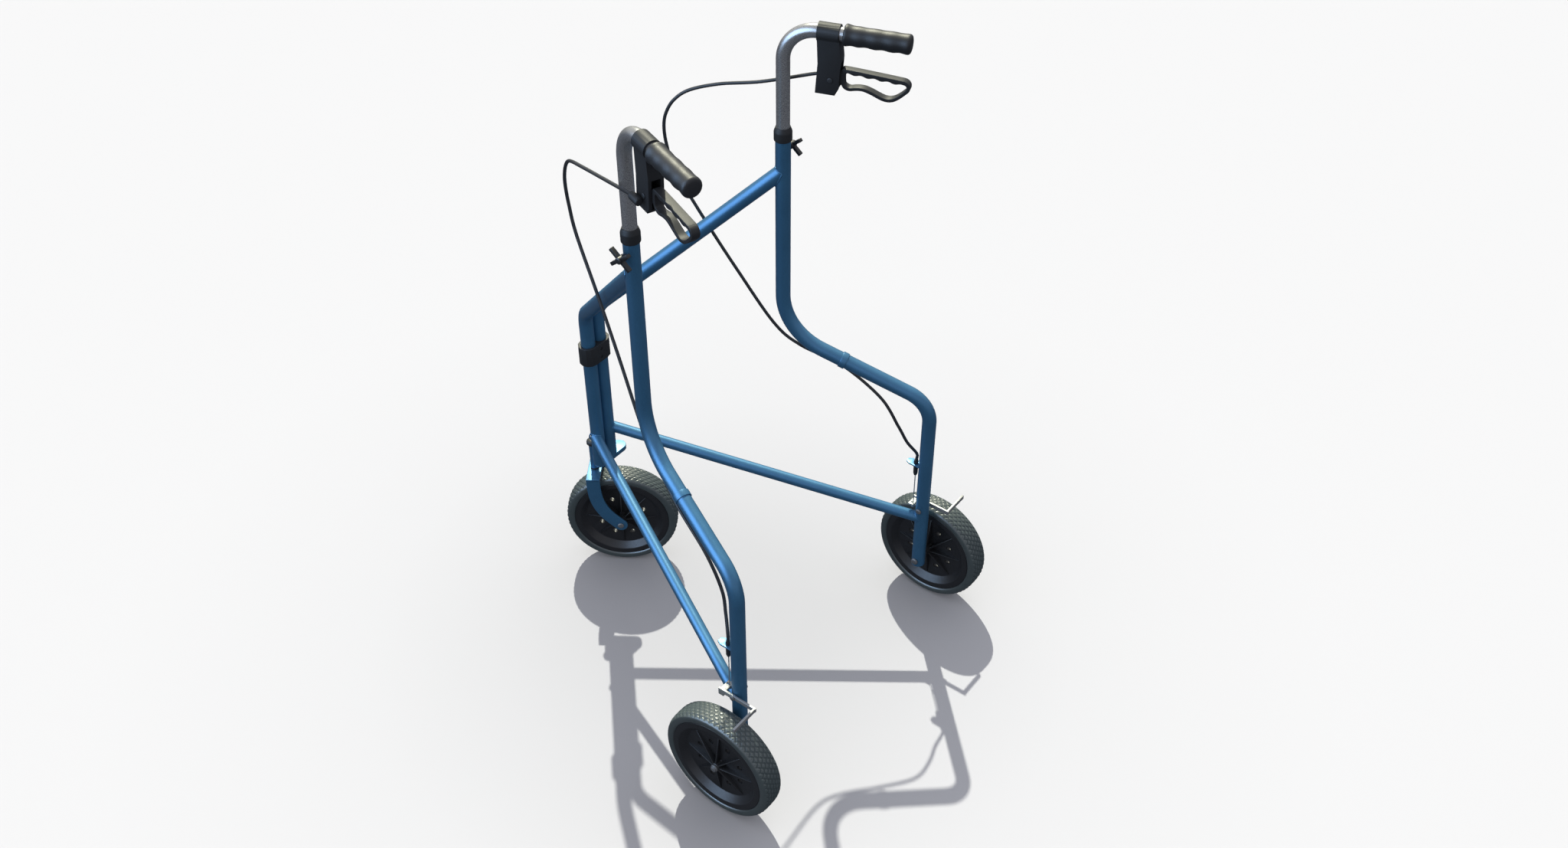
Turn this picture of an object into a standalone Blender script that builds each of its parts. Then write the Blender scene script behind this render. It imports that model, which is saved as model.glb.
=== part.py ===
"""Three-wheeled folding walker with loop brakes.

Metres, +Z up.  The user stands at +Y and walks towards -Y, so +X is the user's left.
The origin is on the floor under the middle of the walker's footprint.
Every moving piece hangs under an empty that lies on its joint's axis.
"""
import math

import bmesh
import bpy
from mathutils import Matrix, Vector
from mathutils.geometry import convex_hull_2d

# ---------------------------------------------------------------- driving dimensions
GAP = 0.0003                      # clearance between pieces that touch

WHEEL_R = 0.0895                  # 7 inch wheel
TYRE_HALF = 0.0187                # half the tyre's width
RIM_R = 0.0757                    # seat of the tyre on the rim
WEB_R = 0.0575                    # the rim's flat web ends here
WEB_FACE = 0.0077                 # web faces, along the axle from the wheel's middle
WEB_BACK = 0.0022
WEB_HOLE_R = 0.0042
WEB_HOLE_RING = 0.0375
WEB_HOLES = 8
HUB_R = 0.0068
HUB_LONG = 0.0273                 # hub reach towards a leg or a fork blade
HUB_SHORT = 0.0185                # hub reach on a rear wheel's open side
AXLE_R = 0.0035

TUBE_R = 0.0105                   # frame tube
HANDLE_R = 0.0092                 # telescoping handle tube
BRACE_R = 0.0085
POST_X, POST_Y = 0.0115, -0.2293  # the two hinge posts stand side by side
POST_BOTTOM = 0.2181
ARM_CORNER_Z = 0.5033             # post bends into the rising arm
ARM_TOP_Z = 0.7476                # arm meets the upright
UPRIGHT_X, UPRIGHT_Y = 0.1496, 0.0058
UPRIGHT_TOP = 0.8000
SLOPE_TOP_Z = 0.4847              # upright bends into the slope
LEG_X, LEG_Y = 0.2248, 0.2155
SLOPE_END_Z = 0.4017              # slope bends into the rear leg
LEG_BOTTOM = 0.0780
ARM_BEND, SLOPE_BEND, LEG_BEND = 0.040, 0.090, 0.050
BRACE_POST_Z, BRACE_LEG_Z = 0.2747, 0.1750
BRACE_POST_X = 0.0165
REAR_WHEEL_X = 0.2635

HANDLE_Z = 0.9540                 # height of the grip's axis at the bend
HANDLE_TURN = math.radians(21)    # the grips splay outwards from straight back
HANDLE_DROP = math.radians(1.3)   # and fall slightly to the rear
HANDLE_BEND = 0.044
HANDLE_BOTTOM = 0.6500            # lower end of the tube inside the upright
SOCKET_BOTTOM = 0.5550            # bottom of the upright's bore
HANDLE_END = 0.1560               # tube end, along the grip from the bend's corner
GRIP_START, GRIP_END = 0.0790, 0.1640
COLLAR_BOTTOM, COLLAR_TOP = 0.7940, 0.8135
COLLAR_R = 0.0124
KNOB_Z = 0.7780

HOUSING_START, HOUSING_END = 0.0455, 0.0735
HOUSING_HALF = 0.0100             # half its width, across the grip
HOUSING_RING_R = 0.0122
LEVER_HALF = 0.0055
PIVOT_S, PIVOT_Z = 0.0640, 0.8930  # lever pivot, along the grip and in height
BARREL_OUT = 0.0165               # cable barrel's axis, outboard of the grip's plane
BARREL_Z = 0.8870

STEM_Y = -0.2545                  # caster stem axis, ahead of the posts
STEM_R = 0.0064
STEM_BOTTOM, STEM_TOP = 0.1885, 0.2361
UPPER_PLATE_Z, UPPER_PLATE_T = 0.2221, 0.0080
BASE_PLATE_Z, BASE_PLATE_T = 0.2168, 0.0020
STEERER_R = 0.0045
CAP_R, CAP_HEIGHT = 0.0093, 0.0083
CROWN_TOP = 0.1860
PLATE_T = 0.0030                  # fork and bracket plate
BLADE_OUT = 0.0310                # outer face of a fork blade
BLADE_HALF = 0.0108               # half the blade's width
TRAIL = 0.0380
CASTER_YAW = math.radians(35)     # the caster is drawn swivelled
HINGE_BOLT_R = 0.0040

BRAKE_Z = 0.1965                  # brake arm's pivot, on the leg
BRAKE_BOLT_R = 0.0020
ARM_IN, ARM_OUT = 0.2368, 0.2400  # the arm's faces, along X
BRAKE_BAR_Y = 0.2505
BRAKE_BAR_END = 0.2830
TAB_T = 0.0025                    # thickness of the tab that the wire pulls on
WIRE_Y = 0.1985
STOP_Z = 0.2780
FERRULE_BOTTOM = 0.2555
CABLE_R = 0.0023
WIRE_R = 0.0008

# Left cable's route from its barrel to the stop on the leg, points chosen along the way
CABLE_ROUTE = [
    (0.1500, -0.0300, 0.8660), (0.1310, -0.0830, 0.8540), (0.1140, -0.1200, 0.8410),
    (0.1035, -0.1385, 0.8260), (0.0980, -0.1490, 0.8070), (0.0955, -0.1530, 0.7860),
    (0.0955, -0.1500, 0.7570), (0.0985, -0.1390, 0.7190), (0.1100, -0.1000, 0.6500),
    (0.1250, -0.0560, 0.5760), (0.1440, -0.0060, 0.4950), (0.1590, 0.0300, 0.4630),
    (0.1850, 0.0860, 0.4360), (0.2000, 0.1450, 0.3950), (0.2060, 0.1750, 0.3510),
    (0.2140, 0.1870, 0.3210),
]
CABLE_POINTS = 60

BLUE = (0.030, 0.125, 0.300)
BLACK = (0.016, 0.017, 0.019)
RUBBER = (0.045, 0.052, 0.058)
SATIN = (0.330, 0.335, 0.345)
STEEL = (0.560, 0.560, 0.540)

UP = Vector((0, 0, 1))
SIDES = (("left", 1), ("right", -1))

# ---------------------------------------------------------------- scene
for old in list(bpy.data.objects):
    bpy.data.objects.remove(old, do_unlink=True)

walker = bpy.data.collections.new("walker")
cutters = bpy.data.collections.new("cutters")
for group in (walker, cutters):
    bpy.context.scene.collection.children.link(group)


def material(name, colour, roughness, metallic):
    """A plain Principled material."""
    made = bpy.data.materials.new(name)
    made.use_nodes = True
    shader = made.node_tree.nodes["Principled BSDF"]
    shader.inputs["Base Color"].default_value = (*colour, 1)
    shader.inputs["Roughness"].default_value = roughness
    shader.inputs["Metallic"].default_value = metallic
    return made


FINISHES = {
    "frame": (BLUE, 0.32, 0.6),
    "plastic": (BLACK, 0.45, 0.0),
    "rubber": (RUBBER, 0.75, 0.0),
    "satin": (SATIN, 0.35, 0.9),
    "steel": (STEEL, 0.30, 1.0),
}


# ---------------------------------------------------------------- frames of reference
def axes_matrix(origin, x_axis, y_axis):
    """Right-handed placement with local X and Y along the two given directions."""
    x = Vector(x_axis).normalized()
    z = x.cross(Vector(y_axis)).normalized()
    y = z.cross(x)
    turned = Matrix((x, y, z)).transposed().to_4x4()
    return Matrix.Translation(Vector(origin)) @ turned


def along_matrix(origin, axis):
    """Placement whose local Z runs along axis."""
    turn = Vector(axis).to_track_quat("Z", "Y").to_matrix().to_4x4()
    return Matrix.Translation(Vector(origin)) @ turn


class Side:
    """Where one half of the walker lies; sign is +1 on the user's left."""

    def __init__(self, name, sign):
        self.name = name
        self.sign = sign
        self.back = Vector((sign * math.sin(HANDLE_TURN), math.cos(HANDLE_TURN), 0))
        self.out = Vector((sign * math.cos(HANDLE_TURN), -math.sin(HANDLE_TURN), 0))
        self.grip = self.back * math.cos(HANDLE_DROP) - UP * math.sin(HANDLE_DROP)
        self.corner = self.at(UPRIGHT_X, UPRIGHT_Y, HANDLE_Z)

    def at(self, x, y, z):
        return Vector((self.sign * x, y, z))

    def node(self, part):
        return f"{self.name}_{part}"

    def beside_grip(self, s, z, outboard=0.0):
        """A point s along the grip from the bend, at height z, and so far outboard."""
        return self.corner + self.back * s + self.out * outboard + UP * (z - HANDLE_Z)


FORK_BACK = Vector((-math.sin(CASTER_YAW), math.cos(CASTER_YAW), 0))
FORK_AXLE = Vector((math.cos(CASTER_YAW), math.sin(CASTER_YAW), 0))
STEM = Vector((0, STEM_Y, 0))
FRONT_HUB = STEM + FORK_BACK * TRAIL + UP * WHEEL_R


# ---------------------------------------------------------------- making things
def add(obj, finish=None, group=walker):
    """Puts a new object in its collection, with a material of its own."""
    group.objects.link(obj)
    if finish:
        obj.data.materials.clear()
        obj.data.materials.append(material(f"{obj.name}_{finish}", *FINISHES[finish]))
    return obj


def arc(centre, radius, start, end, steps):
    """Points of an arc, in degrees, both ends included."""
    turns = [math.radians(start + (end - start) * i / steps) for i in range(steps + 1)]
    return [(centre[0] + radius * math.cos(a), centre[1] + radius * math.sin(a)) for a in turns]


def circle(centre, radius, steps=16):
    return arc(centre, radius, 0, 360, steps)[:-1]


def hull(circles, steps=16):
    """Outline stretched round circles given as (x, y, radius)."""
    points = [Vector(p) for x, y, r in circles for p in circle((x, y), r, steps)]
    return [points[i][:] for i in convex_hull_2d(points)]


def rounded_path(corners, radii, steps=6):
    """A polyline whose inner corners are arcs of the given radii."""
    path = [Vector(corners[0])]
    for before, corner, after, radius in zip(corners, corners[1:], corners[2:], radii):
        into = (Vector(corner) - Vector(before)).normalized()
        onward = (Vector(after) - Vector(corner)).normalized()
        turn = into.angle(onward)
        start = Vector(corner) - into * radius * math.tan(turn / 2)
        inward = (onward - into * into.dot(onward)).normalized()
        centre = start + inward * radius
        for i in range(steps + 1):
            a = turn * i / steps
            path.append(centre - inward * radius * math.cos(a) + into * radius * math.sin(a))
    path.append(Vector(corners[-1]))
    return path


def smooth_path(points, count):
    """Evenly many points of a Catmull-Rom curve through the route's points."""
    points = [Vector(p) for p in points]
    padded = [points[0] * 2 - points[1], *points, points[-1] * 2 - points[-2]]
    fine = []
    for p0, p1, p2, p3 in zip(padded, padded[1:], padded[2:], padded[3:]):
        for i in range(12):
            t = i / 12
            fine.append(0.5 * (2 * p1 + (p2 - p0) * t + (2 * p0 - 5 * p1 + 4 * p2 - p3) * t * t
                               + (3 * p1 - p0 - 3 * p2 + p3) * t ** 3))
    fine.append(points[-1])
    lengths = [0.0]
    for a, b in zip(fine, fine[1:]):
        lengths.append(lengths[-1] + (b - a).length)
    even, at = [], 0
    for i in range(count):
        want = lengths[-1] * i / (count - 1)
        while at < len(fine) - 2 and lengths[at + 1] < want:
            at += 1
        share = (want - lengths[at]) / (lengths[at + 1] - lengths[at])
        even.append(fine[at].lerp(fine[at + 1], share))
    return even


def tube(name, points, radius, finish, resolution=3):
    """A round bar along points, as a bevelled curve."""
    data = bpy.data.curves.new(name, "CURVE")
    data.dimensions = "3D"
    data.bevel_depth = radius
    data.bevel_resolution = resolution
    data.use_fill_caps = True
    spline = data.splines.new("POLY")
    spline.points.add(len(points) - 1)
    for point, place in zip(spline.points, points):
        point.co = (*place, 1)
    return add(bpy.data.objects.new(name, data), finish)


def plate(name, loops, thickness, placement, finish, group=walker):
    """A flat outline, with holes, in the placement's XY plane."""
    data = bpy.data.curves.new(name, "CURVE")
    data.dimensions = "2D"
    data.fill_mode = "BOTH"
    data.extrude = thickness / 2
    for loop in loops:
        spline = data.splines.new("POLY")
        spline.points.add(len(loop) - 1)
        for point, place in zip(spline.points, loop):
            point.co = (*place, 0, 1)
        spline.use_cyclic_u = True
    obj = add(bpy.data.objects.new(name, data), finish, group)
    obj.matrix_world = placement
    return obj


def as_mesh(curve):
    """The same object as a closed mesh, so that it can be cut or joined."""
    bpy.context.view_layer.update()
    graph = bpy.context.evaluated_depsgraph_get()
    data = bpy.data.meshes.new_from_object(curve.evaluated_get(graph))
    shape = bmesh.new()
    shape.from_mesh(data)
    bmesh.ops.remove_doubles(shape, verts=shape.verts, dist=1e-6)
    bmesh.ops.recalc_face_normals(shape, faces=shape.faces)
    shape.to_mesh(data)
    shape.free()
    name, place, group = curve.name, curve.matrix_world.copy(), curve.users_collection[0]
    bpy.data.objects.remove(curve, do_unlink=True)
    solid = bpy.data.objects.new(name, data)
    group.objects.link(solid)
    solid.matrix_world = place
    return solid


def turned(name, profile, placement, finish=None, steps=16, ring=False, group=walker):
    """A turned shape: profile is (radius, height) down its outer side."""
    data = bpy.data.meshes.new(name)
    count = len(profile)
    edges = [(i, (i + 1) % count) for i in range(count if ring else count - 1)]
    data.from_pydata([(r, 0, z) for r, z in profile], edges, [])
    obj = add(bpy.data.objects.new(name, data), finish, group)
    spin = obj.modifiers.new("turn", "SCREW")
    spin.axis = "Z"
    spin.steps = spin.render_steps = steps
    spin.use_merge_vertices = True
    spin.merge_threshold = 1e-6
    spin.use_smooth_shade = True
    obj.matrix_world = placement
    return obj


def rod(name, radius, length, placement, finish=None, steps=16, group=walker):
    """A plain cylinder standing on the placement's origin."""
    data = bpy.data.meshes.new(name)
    shape = bmesh.new()
    bmesh.ops.create_cone(shape, cap_ends=True, segments=steps, radius1=radius, radius2=radius,
                          depth=length, matrix=Matrix.Translation((0, 0, length / 2)))
    shape.to_mesh(data)
    shape.free()
    obj = add(bpy.data.objects.new(name, data), finish, group)
    obj.matrix_world = placement
    return obj


def block(name, size, placement, finish=None, group=walker):
    """A box centred on the placement's origin."""
    data = bpy.data.meshes.new(name)
    shape = bmesh.new()
    bmesh.ops.create_cube(shape, size=1)
    bmesh.ops.scale(shape, vec=size, verts=shape.verts)
    shape.to_mesh(data)
    shape.free()
    obj = add(bpy.data.objects.new(name, data), finish, group)
    obj.matrix_world = placement
    return obj


def boolean(obj, tool, operation):
    """Cuts obj by a tool, or joins the tool to it."""
    tool.hide_render = True
    tool.display_type = "WIRE"
    step = obj.modifiers.new(tool.name, "BOOLEAN")
    step.operation = operation
    step.object = tool
    return obj


def drill(obj, start, axis, radius, length, steps=16):
    """Bores a round hole from start along axis."""
    name = f"{obj.name}_bore_{len(obj.modifiers)}"
    tool = rod(name, radius, length, along_matrix(start, axis), None, steps, cutters)
    return boolean(obj, tool, "DIFFERENCE")


def empty(name, place):
    """A pivot on a joint's axis."""
    obj = bpy.data.objects.new(name, None)
    walker.objects.link(obj)
    obj.matrix_world = Matrix.Translation(place)
    return obj


def hang(pivot, pieces):
    """Parents pieces to a pivot without moving them."""
    bpy.context.view_layer.update()
    for piece in pieces:
        piece.parent = pivot
        piece.matrix_parent_inverse = pivot.matrix_world.inverted()


def bolt(name, start, axis, grip_length, radius, head_r, head_t, nut_t=0.0, nut_r=0.0):
    """A bolt whose head sits before start; a nut_t makes its far collar too."""
    profile = [(0, grip_length + nut_t)]
    if nut_t:
        profile += [(nut_r * 0.7, grip_length + nut_t), (nut_r, grip_length + nut_t * 0.6),
                    (nut_r, grip_length)]
    profile += [(radius, grip_length), (radius, 0), (head_r, 0), (head_r, -head_t * 0.5),
                (head_r * 0.7, -head_t), (0, -head_t)]
    return turned(name, profile, along_matrix(start, axis), "steel", 12)


# ---------------------------------------------------------------- wheels
def wheel(prefix, hub, axle, reach_back, reach_front):
    """Rim and tyre; the web lies towards the axle's direction."""
    place = along_matrix(hub, axle)
    flange = TYRE_HALF - 0.0015
    bore = AXLE_R + GAP
    profile = [
        (HUB_R * 0.8, reach_front), (HUB_R, reach_front - 0.002), (HUB_R, WEB_FACE),
        (WEB_R, WEB_FACE), (WEB_R + 0.009, flange), (RIM_R, flange),
        (RIM_R, -flange), (WEB_R + 0.009, -flange), (WEB_R + 0.001, -0.004),
        (WEB_R, WEB_BACK), (HUB_R, WEB_BACK), (HUB_R, -reach_back),
        (bore, -reach_back), (bore, reach_front),
    ]
    rim = turned(f"{prefix}_rim", profile, place, "plastic", 28, ring=True)
    for i in range(WEB_HOLES):
        a = 2 * math.pi * (i + 0.5) / WEB_HOLES
        centre = (WEB_HOLE_RING * math.cos(a), WEB_HOLE_RING * math.sin(a), WEB_BACK - 0.002)
        drill(rim, place @ Vector(centre), axle, WEB_HOLE_R, 0.012, 8)
    half = TYRE_HALF
    inner = RIM_R + GAP
    shoulder = [(inner, half - 0.0015), (0.0800, half), (0.0855, half - 0.0008),
                (0.0884, half - 0.0048), (WHEEL_R, half - 0.0105)]
    outline = shoulder + [(r, -t) for r, t in reversed(shoulder)]
    tyre = turned(f"{prefix}_tyre", outline, place, "rubber", 28, ring=True)
    return [rim, tyre]


# ---------------------------------------------------------------- one side's frame
def frame_tubes(side):
    """Post with its arm, upright with slope and leg, and the brace between them."""
    post = [side.at(POST_X, POST_Y, POST_BOTTOM), side.at(POST_X, POST_Y, ARM_CORNER_Z),
            side.at(UPRIGHT_X, UPRIGHT_Y, ARM_TOP_Z)]
    arm = as_mesh(tube(side.node("arm_tube"), rounded_path(post, [ARM_BEND]), TUBE_R, "frame"))
    upright = [side.at(UPRIGHT_X, UPRIGHT_Y, UPRIGHT_TOP),
               side.at(UPRIGHT_X, UPRIGHT_Y, SLOPE_TOP_Z),
               side.at(LEG_X, LEG_Y, SLOPE_END_Z), side.at(LEG_X, LEG_Y, LEG_BOTTOM)]
    leg = as_mesh(tube(side.node("leg_tube"), rounded_path(upright, [SLOPE_BEND, LEG_BEND]),
                       TUBE_R, "frame", 4))
    ends = [side.at(BRACE_POST_X, POST_Y, BRACE_POST_Z), side.at(LEG_X, LEG_Y, BRACE_LEG_Z)]
    brace = as_mesh(tube(side.node("brace_tube"), ends, BRACE_R, "frame"))

    # each tube's end is coped to the tube it is welded on
    reach = 0.10
    for piece, x, y, z in ((arm, UPRIGHT_X, UPRIGHT_Y, ARM_TOP_Z),
                           (brace, POST_X, POST_Y, BRACE_POST_Z),
                           (brace, LEG_X, LEG_Y, BRACE_LEG_Z)):
        drill(piece, side.at(x, y, z - reach / 2), UP, TUBE_R + GAP, reach, 24)
    socket = UPRIGHT_TOP - SOCKET_BOTTOM + 0.001
    drill(leg, side.at(UPRIGHT_X, UPRIGHT_Y, SOCKET_BOTTOM), UP, HANDLE_R + GAP, socket, 20)
    drill(leg, side.at(UPRIGHT_X, UPRIGHT_Y, KNOB_Z), side.at(1, 0, 0), 0.0033, 0.02, 12)
    for z, radius in ((WHEEL_R, AXLE_R), (BRAKE_Z, BRAKE_BOLT_R)):
        drill(leg, side.at(LEG_X - 0.02, LEG_Y, z), side.at(1, 0, 0), radius + GAP, 0.04, 12)
    drill(arm, side.at(POST_X, POST_Y, POST_BOTTOM - 0.001), UP, HINGE_BOLT_R + GAP, 0.026, 12)
    return [arm, leg, brace]


def collar(side):
    """Plastic ring that closes the upright round the handle tube."""
    wide, narrow = TUBE_R + GAP, HANDLE_R + GAP
    ledge = UPRIGHT_TOP + GAP
    profile = [(narrow + 0.0006, COLLAR_TOP), (COLLAR_R, COLLAR_TOP - 0.0065),
               (COLLAR_R, COLLAR_BOTTOM + 0.001), (COLLAR_R - 0.0006, COLLAR_BOTTOM),
               (wide, COLLAR_BOTTOM), (wide, ledge), (narrow, ledge), (narrow, COLLAR_TOP)]
    profile = [(r, z - COLLAR_BOTTOM) for r, z in profile]
    place = Matrix.Translation(side.at(UPRIGHT_X, UPRIGHT_Y, COLLAR_BOTTOM))
    return turned(side.node("collar"), profile, place, "plastic", 16, ring=True)


def cable_stop(side):
    """Pale plate on the leg's front that holds the cable's ferrule."""
    place = axes_matrix(side.at(LEG_X, LEG_Y, STOP_Z), (1, 0, 0), (0, 1, 0))
    corners = ((0.0058, -0.0085), (0.0058, -0.0255), (0.0030, -0.0310))
    outline = hull([(sign * x, y, 0.0010) for x, y in corners for sign in (1, -1)], 8)
    hole = circle((0, WIRE_Y - LEG_Y), 0.0030, 12)
    stop = as_mesh(plate(side.node("cable_stop"), [outline, hole], 0.0022, place, "frame"))
    return drill(stop, side.at(LEG_X, LEG_Y, STOP_Z - 0.02), UP, TUBE_R + GAP, 0.04, 24)


def cable_clip(side):
    """Thin band round the slope tube, where the cable comes up against it."""
    top = side.at(UPRIGHT_X, UPRIGHT_Y, SLOPE_TOP_Z)
    end = side.at(LEG_X, LEG_Y, SLOPE_END_Z)
    run = (end - top).normalized()
    place = along_matrix(top.lerp(end, 0.41), run)
    inner, outer = TUBE_R + GAP, TUBE_R + GAP + 0.0011
    half = 0.0045
    profile = [(outer, half), (outer, -half), (inner, -half), (inner, half)]
    return turned(side.node("cable_clip"), profile, place, "frame", 16, ring=True)


def cable_run(side):
    """Brake cable, its ferrule in the stop, and the bare wire down to the brake arm."""
    start = side.beside_grip(HOUSING_START - 0.0025, BARREL_Z, BARREL_OUT)
    last = side.at(LEG_X, WIRE_Y, STOP_Z + 0.0075)
    route = [start, start - side.back * 0.012 - UP * 0.003]
    route += [side.at(*point) for point in CABLE_ROUTE]
    route += [last + UP * 0.012, last]
    cable = tube(side.node("cable"), smooth_path(route, CABLE_POINTS), CABLE_R, "plastic", 2)

    low, high = FERRULE_BOTTOM, STOP_Z + 0.0072
    bore = WIRE_R + GAP
    above, under = STOP_Z + 0.0011 + GAP, STOP_Z - 0.0011 - GAP
    profile = [(0.0030, high), (0.0036, above + 0.002), (0.0036, above), (0.0026, above),
               (0.0026, under), (0.0036, under), (0.0034, low + 0.004), (0.0022, low),
               (bore, low), (bore, low + 0.018), (0, low + 0.018)]
    profile = [(0, high)] + profile
    ferrule = turned(side.node("cable_ferrule"), [(r, z - low) for r, z in profile],
                     Matrix.Translation(side.at(LEG_X, WIRE_Y, low)), "plastic", 10)

    tab = BRAKE_Z - TAB_T / 2
    head = tab - GAP - 0.0045
    outline = [(0, FERRULE_BOTTOM + 0.006), (WIRE_R, FERRULE_BOTTOM + 0.006), (WIRE_R, tab - GAP),
               (0.0032, tab - GAP), (0.0032, head + 0.001), (0.0022, head), (0, head)]
    wire = turned(side.node("brake_wire"), [(r, z - head) for r, z in outline],
                  Matrix.Translation(side.at(LEG_X, WIRE_Y, head)), "steel", 8)
    return cable, ferrule, wire


# ---------------------------------------------------------------- brake at the wheel
def brake_arm(side):
    """Flat bar beside the leg: wire tab at its front, shoe bar across the tyre behind."""
    place = axes_matrix(side.at((ARM_IN + ARM_OUT) / 2, LEG_Y, BRAKE_Z), (0, 1, 0), (0, 0, 1))
    half = 0.0034
    front, rear = -0.0245, BRAKE_BAR_Y - LEG_Y + 0.0032
    outline = [(front, -0.0085), (front + 0.0085, -0.0085), (front + 0.0095, -half),
               (rear, -half), (rear, half), (front, half)]
    hole = circle((0, 0), BRAKE_BOLT_R + GAP, 12)
    arm = as_mesh(plate(side.node("brake_arm"), [outline, hole], ARM_OUT - ARM_IN, place, "steel"))

    def welded(name, inner, outer, y, depth, height):
        """Joins a bar that lies across the arm, from inner to outer along X."""
        bar = block(side.node(name), (outer - inner, depth, height),
                    Matrix.Translation(side.at((inner + outer) / 2, y, BRAKE_Z)), None, cutters)
        boolean(arm, bar, "UNION")

    welded("shoe_bar", ARM_IN + 0.0005, BRAKE_BAR_END, BRAKE_BAR_Y + 0.0012, 0.0032, 1.9 * half)
    welded("wire_tab", LEG_X - 0.0050, ARM_OUT - 0.0006, LEG_Y - 0.01855, 0.0091, TAB_T)
    # the wire's line moves out along the tab as the arm turns, so its hole is a slot
    slot = hull([(0, LEG_Y - 0.0172, 0.0012), (0, LEG_Y - 0.0205, 0.0012)], 8)
    level = axes_matrix(side.at(LEG_X, 0, BRAKE_Z), (1, 0, 0), (0, 1, 0))
    boolean(arm, as_mesh(plate(side.node("wire_slot"), [slot], 0.02, level, None, cutters)),
            "DIFFERENCE")
    return arm


# ---------------------------------------------------------------- handle
def handle_tube(side):
    corners = [side.at(UPRIGHT_X, UPRIGHT_Y, HANDLE_BOTTOM), side.corner,
               side.corner + side.grip * HANDLE_END]
    return tube(side.node("handle_tube"), rounded_path(corners, [HANDLE_BEND]), HANDLE_R, "satin")


def grip(side):
    """Rubber sleeve with a flared start, finger waves and a round end."""
    length = GRIP_END - GRIP_START
    waves = []
    count = 11
    for i in range(count + 1):
        t = i / count
        flare = 0.0012 * math.exp(-t * 9)
        wave = 0.00045 * math.cos(2 * math.pi * 4 * t)
        waves.append((0.0126 + flare + wave, length - 0.004 - (length - 0.006) * (1 - t)))
    bore = HANDLE_R + GAP
    depth = length - (HANDLE_END - GRIP_START) - GAP
    profile = [(0, length), (0.0085, length), (0.0112, length - 0.0015)]
    profile += [(r, z) for r, z in reversed(waves)]
    profile += [(0.0125, 0), (bore, 0), (bore, length - depth), (0, length - depth)]
    start = side.corner + side.grip * GRIP_START
    return turned(side.node("grip"), profile, along_matrix(start, side.grip), "plastic", 14)


def lever_housing(side):
    """Clamp ring on the tube with a slotted body under it."""
    place = axes_matrix(side.corner, side.back, UP)
    z0 = HANDLE_Z
    outline = [(HOUSING_START, 0.004), (HOUSING_END, 0.003), (0.0772, 0.9195 - z0),
               (0.0748, 0.8815 - z0), (0.0702, 0.8728 - z0), (0.0445, 0.8735 - z0),
               (0.0475, 0.9137 - z0)]
    body = as_mesh(plate(side.node("lever_housing"), [outline], 2 * HOUSING_HALF, place,
                         "plastic"))
    ring_length = HOUSING_END - HOUSING_START
    ring = rod(side.node("housing_ring"), HOUSING_RING_R, ring_length,
               along_matrix(side.corner + side.grip * HOUSING_START, side.grip), None, 24, cutters)
    boolean(body, ring, "UNION")
    drill(body, side.corner + side.grip * (HOUSING_START - 0.006), side.grip, HANDLE_R + GAP,
          ring_length + 0.012, 20)
    slot_size = (0.030, 0.0395, 2 * (LEVER_HALF + GAP))
    slot_place = axes_matrix(side.beside_grip(0.0565 + 0.015, 0.8968), side.back, UP)
    slot = block(side.node("lever_slot"), slot_size, slot_place, None, cutters)
    boolean(body, slot, "DIFFERENCE")
    pin_start = side.beside_grip(PIVOT_S, PIVOT_Z, -0.02)
    return drill(body, pin_start, side.out, 0.0020 + GAP, 0.04, 12)


def cable_barrel(side):
    """Adjuster on the housing's outboard face, where the cable starts."""
    start = side.beside_grip(HOUSING_START - 0.002, BARREL_Z, BARREL_OUT)
    bore = CABLE_R + GAP
    profile = [(0, 0.0220), (0.0040, 0.0220), (0.0052, 0.0205), (0.0052, 0.0045), (0.0036, 0),
               (bore, 0), (bore, 0.0050), (0, 0.0050)]
    return turned(side.node("cable_barrel"), profile, along_matrix(start, side.back), "plastic", 12)


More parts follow.
